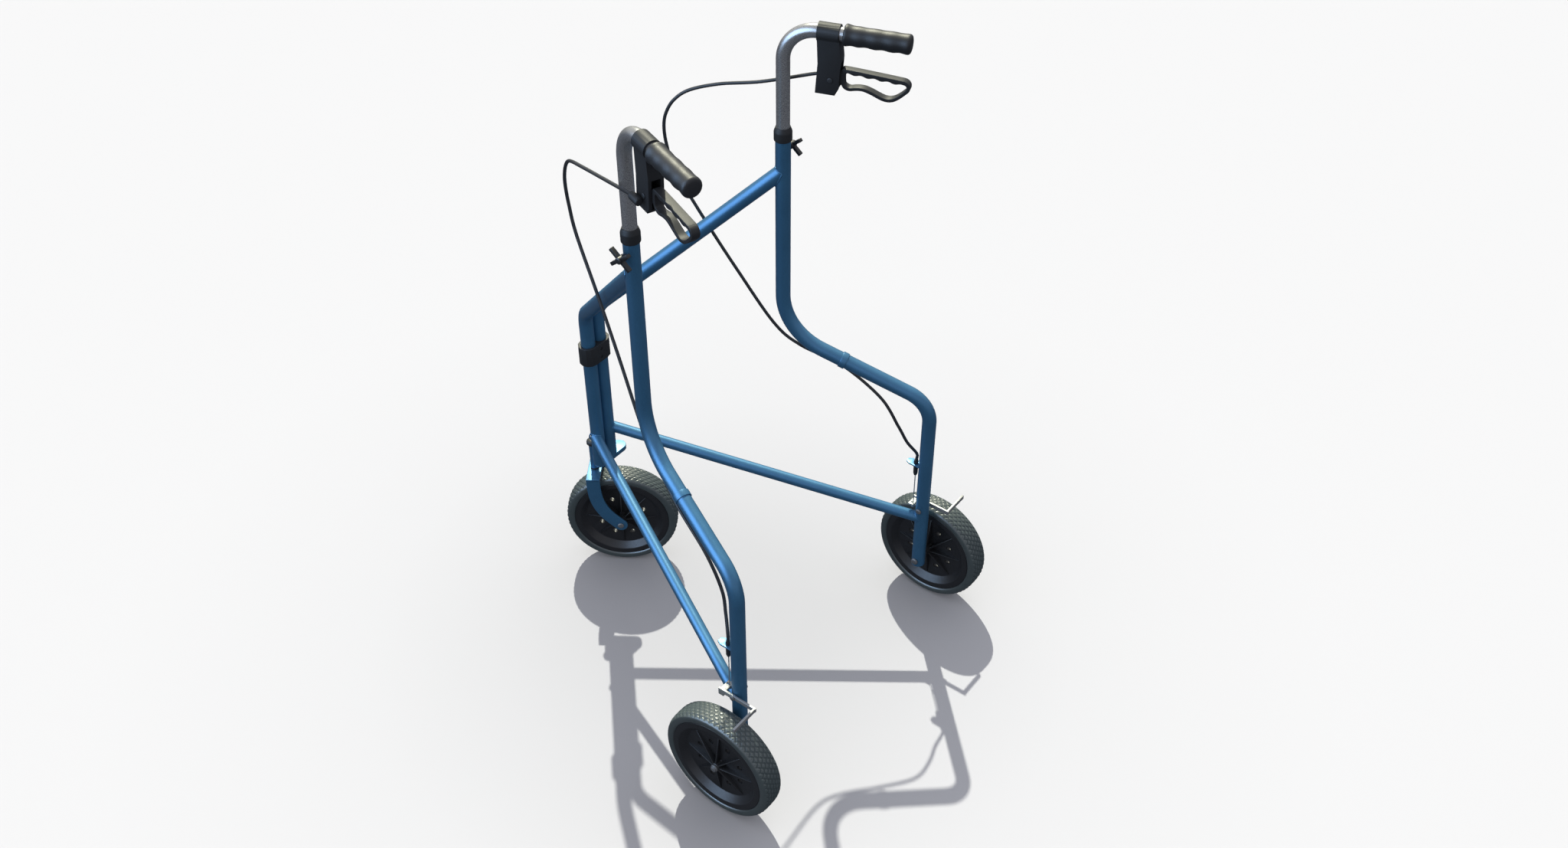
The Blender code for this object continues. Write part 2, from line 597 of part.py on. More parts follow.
def lever_outline():
    """Closed loop of the brake lever, with finger waves inside, in grip coordinates."""
    z0 = HANDLE_Z
    tongue = [(0.0770, 0.8880 - z0)] + arc((PIVOT_S, PIVOT_Z - z0), 0.0052, 290, 95, 8)
    top = [(0.0755, 0.9035 - z0), (0.0775, 0.9075 - z0), (0.0805, 0.9090 - z0),
           (0.1570, 0.9028 - z0)]
    tip = arc((0.1565, 0.8935 - z0), 0.0090, 78, -48, 7)
    low = [(0.1545, 0.8790 - z0), (0.1465, 0.8730 - z0), (0.1390, 0.8708 - z0),
           (0.1310, 0.8716 - z0), (0.1230, 0.8748 - z0), (0.1130, 0.8793 - z0),
           (0.1040, 0.8818 - z0), (0.0950, 0.8808 - z0), (0.0880, 0.8790 - z0),
           (0.0820, 0.8806 - z0), (0.0785, 0.8838 - z0)]
    outer = tongue + top + tip + low
    band = 0.0042
    waves = []
    for i in range(17):
        t = i / 16
        s = 0.0850 + 0.0690 * t
        ripple = 0.0009 * math.cos(2 * math.pi * 4 * t)
        waves.append((s, 0.9086 - z0 - 0.0062 * (s - 0.0805) / 0.0765 - 0.0055 + ripple))
    inner = [(0.0812, 0.9010 - z0)] + waves
    inner += arc((0.1563, 0.8930 - z0), 0.0046, 60, -48, 5)
    inner += [(0.1520, 0.8822 - z0), (0.1455, 0.8774 - z0), (0.1390, 0.8752 - z0),
              (0.1322, 0.8758 - z0), (0.1248, 0.8788 - z0), (0.1140, 0.8836 - z0),
              (0.1042, 0.8818 + band - z0), (0.0945, 0.8808 + band - z0),
              (0.0880, 0.8790 + band - z0), (0.0832, 0.8850 - z0), (0.0812, 0.8875 - z0)]
    return [outer, inner, circle((PIVOT_S, PIVOT_Z - z0), 0.0020 + GAP, 10)]


def brake_lever(side):
    place = axes_matrix(side.corner, side.back, UP)
    return plate(side.node("brake_lever"), lever_outline(), 2 * LEVER_HALF, place, "plastic")


def lever_pin(side):
    start = side.beside_grip(PIVOT_S, PIVOT_Z, -HOUSING_HALF - GAP)
    return bolt(side.node("lever_pin"), start, side.out, 2 * (HOUSING_HALF + GAP), 0.0020,
                0.0036, 0.0012, 0.0010, 0.0034)


def height_knob(side):
    """Four-armed knob on a stud that goes through the upright's wall."""
    start = side.at(UPRIGHT_X + HANDLE_R + 0.0006, UPRIGHT_Y, KNOB_Z)
    profile = [(0, 0.0165), (0.0048, 0.0165), (0.0056, 0.0150), (0.0056, 0.0040), (0.0030, 0.0040),
               (0.0030, 0), (0, 0)]
    knob = turned(side.node("height_knob"), profile, along_matrix(start, side.at(1, 0, 0)),
                  "plastic", 12)
    centre = side.at(UPRIGHT_X + HANDLE_R + 0.0110, UPRIGHT_Y, KNOB_Z)
    for i in range(2):
        turn = Matrix.Rotation(math.radians(38 + 104 * i), 4, "X")
        bar = block(f"{side.name}_knob_arm_{i}", (0.0060, 0.0360, 0.0048),
                    Matrix.Translation(centre) @ turn, None, cutters)
        boolean(knob, bar, "UNION")
    return knob


# ---------------------------------------------------------------- head and caster
def post_clamp():
    """Plastic block that ties the two posts together and lets them turn."""
    place = axes_matrix((0, POST_Y, 0.4330), (1, 0, 0), (0, 1, 0))
    outline = hull([(sign * 0.0122, 0, 0.0148) for sign in (1, -1)], 12)
    holes = [circle((sign * POST_X, 0), TUBE_R + GAP, 20) for sign in (1, -1)]
    clamp = as_mesh(plate("post_clamp", [outline, *holes], 0.0310, place, "plastic"))
    for z in (0.4400, 0.4265):
        drill(clamp, (0, POST_Y + 0.0075, z), (0, 1, 0), 0.0020 + GAP, 0.02, 12)
    return clamp


def clamp_screws():
    screws = []
    for name, z in (("upper", 0.4400), ("lower", 0.4265)):
        place = along_matrix((0, POST_Y + 0.0078, z), (0, 1, 0))
        profile = [(0, 0.0066), (0.0013, 0.0066), (0.0020, 0.0060), (0.0020, 0), (0, 0)]
        screws.append(turned(f"clamp_screw_{name}", profile, place, "steel", 12))
    return screws


def ribbon(centreline, half, end_steps=8):
    """Outline of a flat bar along a centreline, with a round far end."""
    points = [Vector(p) for p in centreline]
    left, right = [], []
    for i, point in enumerate(points):
        run = points[min(i + 1, len(points) - 1)] - points[max(i - 1, 0)]
        across = Vector((-run.y, run.x)).normalized() * half
        left.append((point + across)[:])
        right.append((point - across)[:])
    last = points[-1] - points[-2]
    heading = math.degrees(math.atan2(last.y, last.x))
    end = arc(points[-1], half, heading - 90, heading + 90, end_steps)
    return right[:-1] + end + left[-2::-1]


def head_plate():
    """Thick plate from the stem past the right post, which turns in its scooped edge."""
    level = axes_matrix((0, 0, UPPER_PLATE_Z), (1, 0, 0), (0, 1, 0))
    outline = hull([(0, STEM_Y, 0.0060), (-0.0165, -0.2575, 0.0065), (-0.0315, -0.2282, 0.0107),
                    (-0.0140, -0.2187, 0.0012)])
    tongue = as_mesh(plate("head_plate", [outline], UPPER_PLATE_T, level, "frame"))
    drill(tongue, (-POST_X, POST_Y, UPPER_PLATE_Z - 0.01), UP, TUBE_R + GAP, 0.02, 20)
    return drill(tongue, (0, STEM_Y, UPPER_PLATE_Z - 0.01), UP, STEM_R + GAP, 0.02, 20)


def head_base():
    """Base plate that the posts stand on."""
    level = axes_matrix((0, 0, BASE_PLATE_Z), (1, 0, 0), (0, 1, 0))
    posts = [(sign * POST_X, POST_Y, 0.0100) for sign in (1, -1)]
    holes = [circle((x, y), HINGE_BOLT_R + GAP, 12) for x, y, r in posts]
    outline = hull([(0, STEM_Y, 0.0030), *posts])
    base = as_mesh(plate("head_base", [outline, *holes], BASE_PLATE_T, level, "frame"))
    return drill(base, (0, STEM_Y, BASE_PLATE_Z - 0.01), UP, STEM_R + GAP, 0.02, 20)


def stem_parts():
    """Housing tube, the bearing under it and the cap on top."""
    bore = STEERER_R + GAP

    def ring(name, low, high, radius, finish):
        length = high - low
        profile = [(radius, length), (radius, 0), (bore, 0), (bore, length)]
        return turned(name, profile, Matrix.Translation((0, STEM_Y, low)), finish, 16, ring=True)

    housing = ring("stem_housing", STEM_BOTTOM, STEM_TOP, STEM_R, "frame")
    bearing = ring("stem_bearing", CROWN_TOP + GAP, STEM_BOTTOM - GAP, STEM_R + 0.0004,
                   "plastic")
    profile = [(0, CAP_HEIGHT), (CAP_R * 0.6, CAP_HEIGHT - 0.0004), (CAP_R * 0.9, 0.0062),
               (CAP_R, 0.0042), (CAP_R, 0.0008), (CAP_R - 0.0008, 0), (0, 0)]
    cap = turned("stem_cap", profile, Matrix.Translation((0, STEM_Y, STEM_TOP + GAP)),
                 "plastic", 16)
    return [housing, bearing, cap]


def hinge_bolt(side):
    """Bolt that a post turns on, up through the base plate."""
    start = side.at(POST_X, POST_Y, BASE_PLATE_Z - BASE_PLATE_T / 2 - GAP)
    return bolt(side.node("hinge_bolt"), start, UP, 0.024, HINGE_BOLT_R, 0.0065, 0.0022)


def fork():
    """Bent plate: a crown with two curved blades, and the steerer that turns in the stem."""
    crown_place = axes_matrix(STEM + UP * (CROWN_TOP - PLATE_T / 2), FORK_AXLE, FORK_BACK)
    solid = block("fork", (2 * BLADE_OUT, 2 * BLADE_HALF, PLATE_T), crown_place, "frame")
    centreline = [(0, CROWN_TOP), (0.0005, 0.165), (0.0030, 0.145), (0.0080, 0.129),
                  (0.0165, 0.1135), (0.0270, 0.1010), (TRAIL, WHEEL_R)]
    outline = ribbon(centreline, BLADE_HALF)
    hole = circle((TRAIL, WHEEL_R), AXLE_R + GAP, 12)
    for sign in (1, -1):
        place = axes_matrix(STEM + FORK_AXLE * sign * (BLADE_OUT - PLATE_T / 2), FORK_BACK, UP)
        blade = plate(f"fork_blade_{sign}", [outline, hole], PLATE_T, place, None, cutters)
        boolean(solid, as_mesh(blade), "UNION")
    steerer = rod("steerer", STEERER_R, STEM_TOP - CROWN_TOP - 0.0005 + 0.001,
                  Matrix.Translation(STEM + UP * (CROWN_TOP - 0.001)), None, 16, cutters)
    return boolean(solid, steerer, "UNION")


def cap_nut(name, start, axis):
    """Domed nut on the last of an axle bolt."""
    bore, depth = AXLE_R + GAP, 0.0026
    profile = [(0, 0.0046), (0.0034, 0.0042), (0.0056, 0.0026), (0.0056, 0), (bore, 0),
               (bore, depth), (0, depth)]
    return turned(name, profile, along_matrix(start, axis), "steel", 12)


# ---------------------------------------------------------------- assembly
def build_side(name, sign):
    side = Side(name, sign)
    across = side.at(1, 0, 0)
    hub = side.at(REAR_WHEEL_X, LEG_Y, WHEEL_R)

    inner_face = LEG_X - TUBE_R - GAP
    outer_end = REAR_WHEEL_X + HUB_SHORT
    axle = bolt(side.node("axle_bolt"), side.at(inner_face, LEG_Y, WHEEL_R), across,
                outer_end + 0.0024 - inner_face, AXLE_R, 0.0056, 0.0034)
    nut = cap_nut(side.node("axle_nut"), side.at(outer_end + GAP, LEG_Y, WHEEL_R), across)
    pivot = bolt(side.node("brake_pivot_bolt"), side.at(inner_face, LEG_Y, BRAKE_Z), across,
                 ARM_OUT + GAP - inner_face, BRAKE_BOLT_R, 0.0046, 0.0028, 0.0022, 0.0040)
    cable, ferrule, wire = cable_run(side)

    fold = empty(side.node("fold_pivot"), side.at(POST_X, POST_Y, 0.35))
    hang(fold, [*frame_tubes(side), collar(side), cable_stop(side), cable_clip(side),
                cable, ferrule, axle, nut, pivot])
    height = empty(side.node("height_pivot"), side.at(UPRIGHT_X, UPRIGHT_Y, UPRIGHT_TOP))
    hang(height, [handle_tube(side), grip(side), lever_housing(side), cable_barrel(side),
                  lever_pin(side)])
    lever = empty(side.node("lever_pivot"), side.beside_grip(PIVOT_S, PIVOT_Z))
    hang(lever, [brake_lever(side)])
    knob = empty(side.node("knob_pivot"), side.at(UPRIGHT_X, UPRIGHT_Y, KNOB_Z))
    hang(knob, [height_knob(side)])
    brake = empty(side.node("brake_pivot"), side.at(LEG_X, LEG_Y, BRAKE_Z))
    hang(brake, [brake_arm(side)])
    slide = empty(side.node("wire_slide"), side.at(LEG_X, WIRE_Y, BRAKE_Z))
    hang(slide, [wire])
    spin = empty(side.node("wheel_pivot"), hub)
    long_in = (HUB_LONG, HUB_SHORT) if sign > 0 else (HUB_SHORT, HUB_LONG)
    hang(spin, wheel(f"{name}_wheel", hub, (1, 0, 0), *long_in))
    hang(height, [lever])
    hang(fold, [height, knob, brake, slide, spin])


def build_head():
    post_clamp()
    clamp_screws()
    head_plate()
    head_base()
    stem_parts()
    for name, sign in SIDES:
        hinge_bolt(Side(name, sign))
    start = FRONT_HUB + FORK_AXLE * (BLADE_OUT + GAP)
    length = 2 * (BLADE_OUT + GAP)
    axle = bolt("front_axle_bolt", start, -FORK_AXLE, length + 0.0024, AXLE_R, 0.0056, 0.0030)
    nut = cap_nut("front_axle_nut", start - FORK_AXLE * (length + GAP), -FORK_AXLE)
    spin = empty("front_wheel_pivot", FRONT_HUB)
    hang(spin, wheel("front_wheel", FRONT_HUB, FORK_AXLE, HUB_LONG, HUB_LONG))
    swivel = empty("caster_pivot", STEM)
    hang(swivel, [fork(), axle, nut, spin])


build_head()
for side_name, side_sign in SIDES:
    build_side(side_name, side_sign)
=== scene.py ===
"""Looks for the three-wheeled folding walker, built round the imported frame.

Metres, +Z up.  The user stands at +Y and walks towards -Y, so +X is the user's left.
"""
import math

import bmesh
import bpy
import numpy as np
from mathutils import Matrix, Vector
from mathutils.geometry import convex_hull_2d


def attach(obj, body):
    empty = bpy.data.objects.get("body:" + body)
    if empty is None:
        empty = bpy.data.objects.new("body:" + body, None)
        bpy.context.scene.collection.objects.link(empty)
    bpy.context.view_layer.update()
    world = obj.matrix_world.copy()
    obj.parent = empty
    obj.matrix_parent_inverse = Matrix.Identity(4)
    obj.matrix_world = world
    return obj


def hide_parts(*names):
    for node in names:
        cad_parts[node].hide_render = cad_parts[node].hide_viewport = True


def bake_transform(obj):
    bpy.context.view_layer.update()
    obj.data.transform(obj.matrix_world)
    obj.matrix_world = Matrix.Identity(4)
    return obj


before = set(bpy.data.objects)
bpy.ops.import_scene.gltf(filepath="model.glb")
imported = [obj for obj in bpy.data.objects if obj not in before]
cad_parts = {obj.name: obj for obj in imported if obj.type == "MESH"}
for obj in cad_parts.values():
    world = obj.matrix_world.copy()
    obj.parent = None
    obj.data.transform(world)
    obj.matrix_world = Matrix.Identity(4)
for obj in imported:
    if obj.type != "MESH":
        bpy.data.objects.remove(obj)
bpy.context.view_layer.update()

# ---------------------------------------------------------------- dimensions, as in the CAD
GAP = 0.0003
WHEEL_R, TYRE_HALF = 0.0895, 0.0187
RIM_R, WEB_R = 0.0757, 0.0575
WEB_FACE, WEB_BACK = 0.0077, 0.0022
WEB_HOLE_R, WEB_HOLE_RING, WEB_HOLES = 0.0042, 0.0375, 8
HUB_R, HUB_LONG, HUB_SHORT = 0.0068, 0.0273, 0.0185
AXLE_R = 0.0035

TUBE_R, HANDLE_R, BRACE_R = 0.0105, 0.0092, 0.0085
POST_X, POST_Y, POST_BOTTOM = 0.0115, -0.2293, 0.2181
ARM_CORNER_Z, ARM_TOP_Z = 0.5033, 0.7476
UPRIGHT_X, UPRIGHT_Y, UPRIGHT_TOP = 0.1496, 0.0058, 0.8000
SLOPE_TOP_Z, SLOPE_END_Z = 0.4847, 0.4017
LEG_X, LEG_Y, LEG_BOTTOM = 0.2248, 0.2155, 0.0780
ARM_BEND, SLOPE_BEND, LEG_BEND = 0.040, 0.090, 0.050
BRACE_POST_X, BRACE_POST_Z, BRACE_LEG_Z = 0.0165, 0.2747, 0.1750
REAR_WHEEL_X = 0.2635

HANDLE_Z, HANDLE_BEND, HANDLE_BOTTOM, HANDLE_END = 0.9540, 0.044, 0.6500, 0.1560
HANDLE_TURN, HANDLE_DROP = math.radians(21), math.radians(1.3)
GRIP_START, GRIP_END = 0.0790, 0.1640
COLLAR_BOTTOM, COLLAR_TOP, COLLAR_R, KNOB_Z = 0.7940, 0.8135, 0.0124, 0.7780
HOUSING_START, HOUSING_END, HOUSING_HALF, HOUSING_RING_R = 0.0455, 0.0735, 0.0100, 0.0122
LEVER_HALF, PIVOT_S, PIVOT_Z = 0.0055, 0.0640, 0.8930
BARREL_OUT, BARREL_Z = 0.0165, 0.8870

STEM_Y, STEM_R, STEM_BOTTOM, STEM_TOP = -0.2545, 0.0064, 0.1885, 0.2361
UPPER_PLATE_Z, UPPER_PLATE_T, BASE_PLATE_Z, BASE_PLATE_T = 0.2221, 0.0080, 0.2168, 0.0020
STEERER_R, CROWN_TOP, PLATE_T = 0.0045, 0.1860, 0.0030
CAP_R, CAP_HEIGHT = 0.0093, 0.0083
BLADE_OUT, BLADE_HALF, TRAIL = 0.0310, 0.0108, 0.0380
CASTER_YAW = math.radians(35)
HINGE_BOLT_R = 0.0040

BRAKE_Z, BRAKE_BOLT_R, ARM_IN, ARM_OUT = 0.1965, 0.0020, 0.2368, 0.2400
BRAKE_BAR_Y, BRAKE_BAR_END, TAB_T = 0.2505, 0.2830, 0.0025
WIRE_Y, STOP_Z, FERRULE_BOTTOM, CABLE_R, WIRE_R = 0.1985, 0.2780, 0.2555, 0.0023, 0.0008
CABLE_ROUTE = [
    (0.1500, -0.0300, 0.8660), (0.1310, -0.0830, 0.8540), (0.1140, -0.1200, 0.8410),
    (0.1035, -0.1385, 0.8260), (0.0980, -0.1490, 0.8070), (0.0955, -0.1530, 0.7860),
    (0.0955, -0.1500, 0.7570), (0.0985, -0.1390, 0.7190), (0.1100, -0.1000, 0.6500),
    (0.1250, -0.0560, 0.5760), (0.1440, -0.0060, 0.4950), (0.1590, 0.0300, 0.4630),
    (0.1850, 0.0860, 0.4360), (0.2000, 0.1450, 0.3950), (0.2060, 0.1750, 0.3510),
    (0.2140, 0.1870, 0.3210),
]

UP = Vector((0, 0, 1))
SIDES = (("left", 1), ("right", -1))
FORK_BACK = Vector((-math.sin(CASTER_YAW), math.cos(CASTER_YAW), 0))
FORK_AXLE = Vector((math.cos(CASTER_YAW), math.sin(CASTER_YAW), 0))
STEM = Vector((0, STEM_Y, 0))
FRONT_HUB = STEM + FORK_BACK * TRAIL + UP * WHEEL_R


# ---------------------------------------------------------------- camera, light, floor
def set_camera():
    data = bpy.data.cameras.new("camera")
    data.lens, data.sensor_width = 35.0, 36.0
    camera = bpy.data.objects.new("camera", data)
    bpy.context.scene.collection.objects.link(camera)
    turn, dip = math.radians(127.119), math.radians(40.237)
    look = Vector((-math.sin(turn) * math.cos(dip), math.cos(turn) * math.cos(dip),
                   -math.sin(dip)))
    camera.location = (1.2537, 1.0694, 1.7973)
    camera.rotation_euler = look.to_track_quat("-Z", "Y").to_euler()
    bpy.context.scene.camera = camera


def light(floor, name, towards, energy, colour, distance=3.0, size=None, state="EXCLUDE"):
    """A sun, or an area light of a size, from a direction; state says how the floor is lit."""
    data = bpy.data.lights.new(name, "AREA" if size else "SUN")
    data.energy, data.color = energy, colour
    if size:
        data.shape, data.size, data.size_y = "ELLIPSE", *size
    else:
        data.angle = 0.012
    obj = bpy.data.objects.new(name, data)
    bpy.context.scene.collection.objects.link(obj)
    direction = Vector(towards).normalized()
    obj.location = Vector((0, 0, 0.45)) + direction * distance
    obj.rotation_euler = (-direction).to_track_quat("-Z", "Y").to_euler()
    lit = bpy.data.collections.new(f"{name}_lit")
    lit.objects.link(floor)
    lit.collection_objects[0].light_linking.link_state = state
    obj.light_linking.receiver_collection = lit
    return obj


def set_light(floor):
    scene = bpy.context.scene
    scene.view_settings.view_transform = "Standard"
    world = bpy.data.worlds.new("studio")
    world.use_nodes = True
    nodes, links = world.node_tree.nodes, world.node_tree.links
    spot = nodes.new("ShaderNodeTexCoord")
    split = nodes.new("ShaderNodeSeparateXYZ")
    links.new(spot.outputs["Generated"], split.inputs[0])
    rise = ranged(nodes, links, split.outputs["Z"], 0, 1, -0.10, 0.16)
    sky = mixed(nodes, links, rise, (0.085, 0.095, 0.115), (0.540, 0.545, 0.590))
    seen = mixed(nodes, links, nodes.new("ShaderNodeLightPath").outputs["Is Camera Ray"], sky,
                 (0.80, 0.80, 0.82))
    links.new(seen, nodes["Background"].inputs["Color"])
    scene.world = world
    sun = (-0.497, -0.485, 0.72)
    light(floor, "floor_sun", sun, 3.87, (1.0, 0.98, 0.885), state="INCLUDE")
    light(floor, "key_sun", sun, 4.2, (1.0, 0.98, 0.77))
    light(floor, "warm_back", (-0.55, -0.50, 0.66), 7, (1.0, 0.97, 0.70), 3.0, (1.1, 1.1))
    side = light(floor, "blue_side", (0.765, -0.407, 0.500), 100, (0.46, 0.68, 1.0), 2.6,
                 (3.4, 2.6))
    side.visible_diffuse = False


def node_material(name):
    made = bpy.data.materials.new(name)
    made.use_nodes = True
    return made, made.node_tree.nodes, made.node_tree.links, made.node_tree.nodes["Principled BSDF"]


def noise(nodes, links, scale, detail, roughness=0.55):
    """A noise value in object space."""
    spot = nodes.new("ShaderNodeTexCoord")
    field = nodes.new("ShaderNodeTexNoise")
    field.inputs["Scale"].default_value = scale
    field.inputs["Detail"].default_value = detail
    field.inputs["Roughness"].default_value = roughness
    links.new(spot.outputs["Object"], field.inputs["Vector"])
    return field.outputs["Fac"]


def ranged(nodes, links, value, low, high, start=0.35, end=0.65):
    """A value mapped from one range to another."""
    node = nodes.new("ShaderNodeMapRange")
    node.inputs["From Min"].default_value, node.inputs["From Max"].default_value = start, end
    node.inputs["To Min"].default_value, node.inputs["To Max"].default_value = low, high
    links.new(value, node.inputs["Value"])
    return node.outputs["Result"]


def mixed(nodes, links, share, first, second):
    node = nodes.new("ShaderNodeMix")
    node.data_type = "RGBA"
    links.new(share, node.inputs["Factor"])
    for key, colour in (("A", first), ("B", second)):
        socket = next(s for s in node.inputs if s.name == key and s.type == "RGBA")
        if hasattr(colour, "links"):
            links.new(colour, socket)
        else:
            socket.default_value = (*colour, 1)
    return next(s for s in node.outputs if s.type == "RGBA")


def bumped(nodes, links, height, strength, distance):
    node = nodes.new("ShaderNodeBump")
    node.inputs["Strength"].default_value = strength
    node.inputs["Distance"].default_value = distance
    links.new(height, node.inputs["Height"])
    return node.outputs["Normal"]


MATERIALS = {}
PATCH_SCALE, DUST_SCALE, GRAIN_DEPTH = 18, 60, 0.0004


def surface(name, colour, second, metallic, rough, grain_scale, grain, coat=0.0, coat_rough=0.2,
            specular=0.5, dust=None, speckle=0.0):
    """A procedural finish: patchy colour, varied roughness and a fine grain."""
    MATERIALS[name], nodes, links, shader = node_material(name)
    patch = noise(nodes, links, PATCH_SCALE, 4)
    colour_out = mixed(nodes, links, ranged(nodes, links, patch, 0, 1), colour, second)
    fine = noise(nodes, links, grain_scale, 2)
    if speckle:
        bright = tuple(min(1, c * (1 + speckle) + 0.01 * speckle) for c in second)
        share = ranged(nodes, links, fine, 0, 1, 0.5, 0.72)
        colour_out = mixed(nodes, links, share, colour_out, bright)
    if dust:
        settled = noise(nodes, links, DUST_SCALE, 5, 0.7)
        colour_out = mixed(nodes, links, ranged(nodes, links, settled, 0, 0.5, 0.45, 0.8),
                           colour_out, dust)
    links.new(colour_out, shader.inputs["Base Color"])
    shader.inputs["Metallic"].default_value = metallic
    links.new(ranged(nodes, links, fine, rough - 0.05, rough + 0.05), shader.inputs["Roughness"])
    shader.inputs["Specular IOR Level"].default_value = specular
    shader.inputs["Coat Weight"].default_value = coat
    shader.inputs["Coat Roughness"].default_value = coat_rough
    links.new(bumped(nodes, links, fine, grain, GRAIN_DEPTH), shader.inputs["Normal"])


surface("frame_paint", (0.046, 0.178, 0.335), (0.056, 0.203, 0.378), 0.45, 0.42, 1500, 0.16,
        coat=0.30, coat_rough=0.36, speckle=0.25)
surface("handle_metal", (0.42, 0.425, 0.43), (0.48, 0.485, 0.49), 0.60, 0.28, 1700, 0.18,
        speckle=0.2)
surface("steel", (0.34, 0.35, 0.35), (0.42, 0.43, 0.43), 0.60, 0.48, 1800, 0.10)
surface("zinc", (0.17, 0.175, 0.18), (0.22, 0.225, 0.23), 0.40, 0.58, 1800, 0.12)
surface("black_steel", (0.03, 0.033, 0.038), (0.04, 0.043, 0.048), 0.2, 0.6, 1600, 0.15)
surface("black_plastic", (0.022, 0.024, 0.027), (0.028, 0.030, 0.034), 0.0, 0.54, 1600, 0.22,
        specular=0.38)
surface("rim_plastic", (0.015, 0.016, 0.018), (0.020, 0.021, 0.024), 0.0, 0.40, 1300, 0.30,
        specular=0.6, dust=(0.028, 0.029, 0.033))
surface("grip_rubber", (0.021, 0.023, 0.026), (0.027, 0.029, 0.033), 0.0, 0.47, 1500, 0.30)
surface("tyre_rubber", (0.062, 0.087, 0.092), (0.076, 0.103, 0.108), 0.0, 0.34, 900, 0.30,
        specular=1.0, dust=(0.10, 0.12, 0.118))
# darker rubber for the tread's grooves and dents: painted shade in the recesses
surface("tyre_groove_painted_shade", (0.052, 0.072, 0.077), (0.060, 0.081, 0.086), 0.0, 0.55, 900, 0.30)
surface("cable_sheath", (0.026, 0.029, 0.034), (0.034, 0.037, 0.042), 0.0, 0.45, 900, 0.08,
        specular=0.45)


# ---------------------------------------------------------------- making pieces
def place_piece(obj, look, body):
    """Gives a finished piece its material and its body.  NODE_skin stands for the CAD's NODE."""
    obj.data.materials.clear()
    obj.data.materials.append(MATERIALS[look])
    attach(obj, body)
    if obj.name.endswith("_skin"):
        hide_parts(obj.name.removesuffix("_skin"))


def link(obj):
    bpy.context.scene.collection.objects.link(obj)
    return obj


def shape_of(mesh):
    """A bmesh made from a mesh, which is then removed."""
    shape = bmesh.new()
    shape.from_mesh(mesh)
    bpy.data.meshes.remove(mesh)
    return shape


def finished_mesh(name, shape, sharp=40):
    """An object from a bmesh, smooth but for edges sharper than the given angle."""
    bmesh.ops.recalc_face_normals(shape, faces=shape.faces)
    data = bpy.data.meshes.new(name)
    shape.to_mesh(data)
    shape.free()
    data.shade_smooth()
    data.set_sharp_from_angle(angle=math.radians(sharp))
    return link(bpy.data.objects.new(name, data))


def arc(centre, radius, start, end, steps):
    turns = [math.radians(start + (end - start) * i / steps) for i in range(steps + 1)]
    return [(centre[0] + radius * math.cos(a), centre[1] + radius * math.sin(a)) for a in turns]


def circle(centre, radius, steps=48):
    return arc(centre, radius, 0, 360, steps)[:-1]


def hull(circles, steps=48):
    points = [Vector(p) for x, y, r in circles for p in circle((x, y), r, steps)]
    return [points[i][:] for i in convex_hull_2d(points)]


def axes_matrix(origin, x_axis, y_axis):
    x = Vector(x_axis).normalized()
    z = x.cross(Vector(y_axis)).normalized()
    y = z.cross(x)
    return Matrix.Translation(Vector(origin)) @ Matrix((x, y, z)).transposed().to_4x4()


def along_matrix(origin, axis):
    turn = Vector(axis).to_track_quat("Z", "Y").to_matrix().to_4x4()
    return Matrix.Translation(Vector(origin)) @ turn


def rounded_path(corners, radii, steps=24):
    path = [Vector(corners[0])]
    for before, corner, after, radius in zip(corners, corners[1:], corners[2:], radii):
        into = (Vector(corner) - Vector(before)).normalized()
        onward = (Vector(after) - Vector(corner)).normalized()
        turn = into.angle(onward)
        start = Vector(corner) - into * radius * math.tan(turn / 2)
        inward = (onward - into * into.dot(onward)).normalized()
        centre = start + inward * radius
        for i in range(steps + 1):
            a = turn * i / steps
            path.append(centre - inward * radius * math.cos(a) + into * radius * math.sin(a))
    path.append(Vector(corners[-1]))
    return path


def spline_points(padded, per_span):
    """Points of a Catmull-Rom curve from the second given point to the last but one."""
    fine = []
    for p0, p1, p2, p3 in zip(padded, padded[1:], padded[2:], padded[3:]):
        for i in range(per_span):
            t = i / per_span
            fine.append(0.5 * (2 * p1 + (p2 - p0) * t + (2 * p0 - 5 * p1 + 4 * p2 - p3) * t * t
                               + (3 * p1 - p0 - 3 * p2 + p3) * t ** 3))
    return fine + [padded[-2]]


def smooth_path(points, count):
    """Evenly spaced points of a smooth curve through the route's points."""
    points = [Vector(p) for p in points]
    fine = spline_points([points[0] * 2 - points[1], *points, points[-1] * 2 - points[-2]], 24)
    lengths = [0.0]
    for a, b in zip(fine, fine[1:]):
        lengths.append(lengths[-1] + (b - a).length)
    even, at = [], 0
    for i in range(count):
        want = lengths[-1] * i / (count - 1)
        while at < len(fine) - 2 and lengths[at + 1] < want:
            at += 1
        share = (want - lengths[at]) / (lengths[at + 1] - lengths[at])
        even.append(fine[at].lerp(fine[at + 1], share))
    return even


def frames_along(path):
    """Two normals at each point of a path, carried along without twisting."""
    tangents = []
    for i in range(len(path)):
        run = path[min(i + 1, len(path) - 1)] - path[max(i - 1, 0)]
        tangents.append(run.normalized())
    side = tangents[0].orthogonal().normalized()
    frames = []
    for tangent in tangents:
        side = (side - tangent * tangent.dot(side)).normalized()
        frames.append((side, tangent.cross(side)))
    return frames


def ring_faces(shape, one, other):
    """Faces between two rings of vertices, either of which may be a single point."""
    count = max(len(one), len(other))
    for i in range(count if count > 1 else 0):
        j = (i + 1) % count
        if len(one) == 1:
            shape.faces.new((one[0], other[j], other[i]))
        elif len(other) == 1:
            shape.faces.new((one[i], one[j], other[0]))
        else:
            shape.faces.new((one[i], one[j], other[j], other[i]))


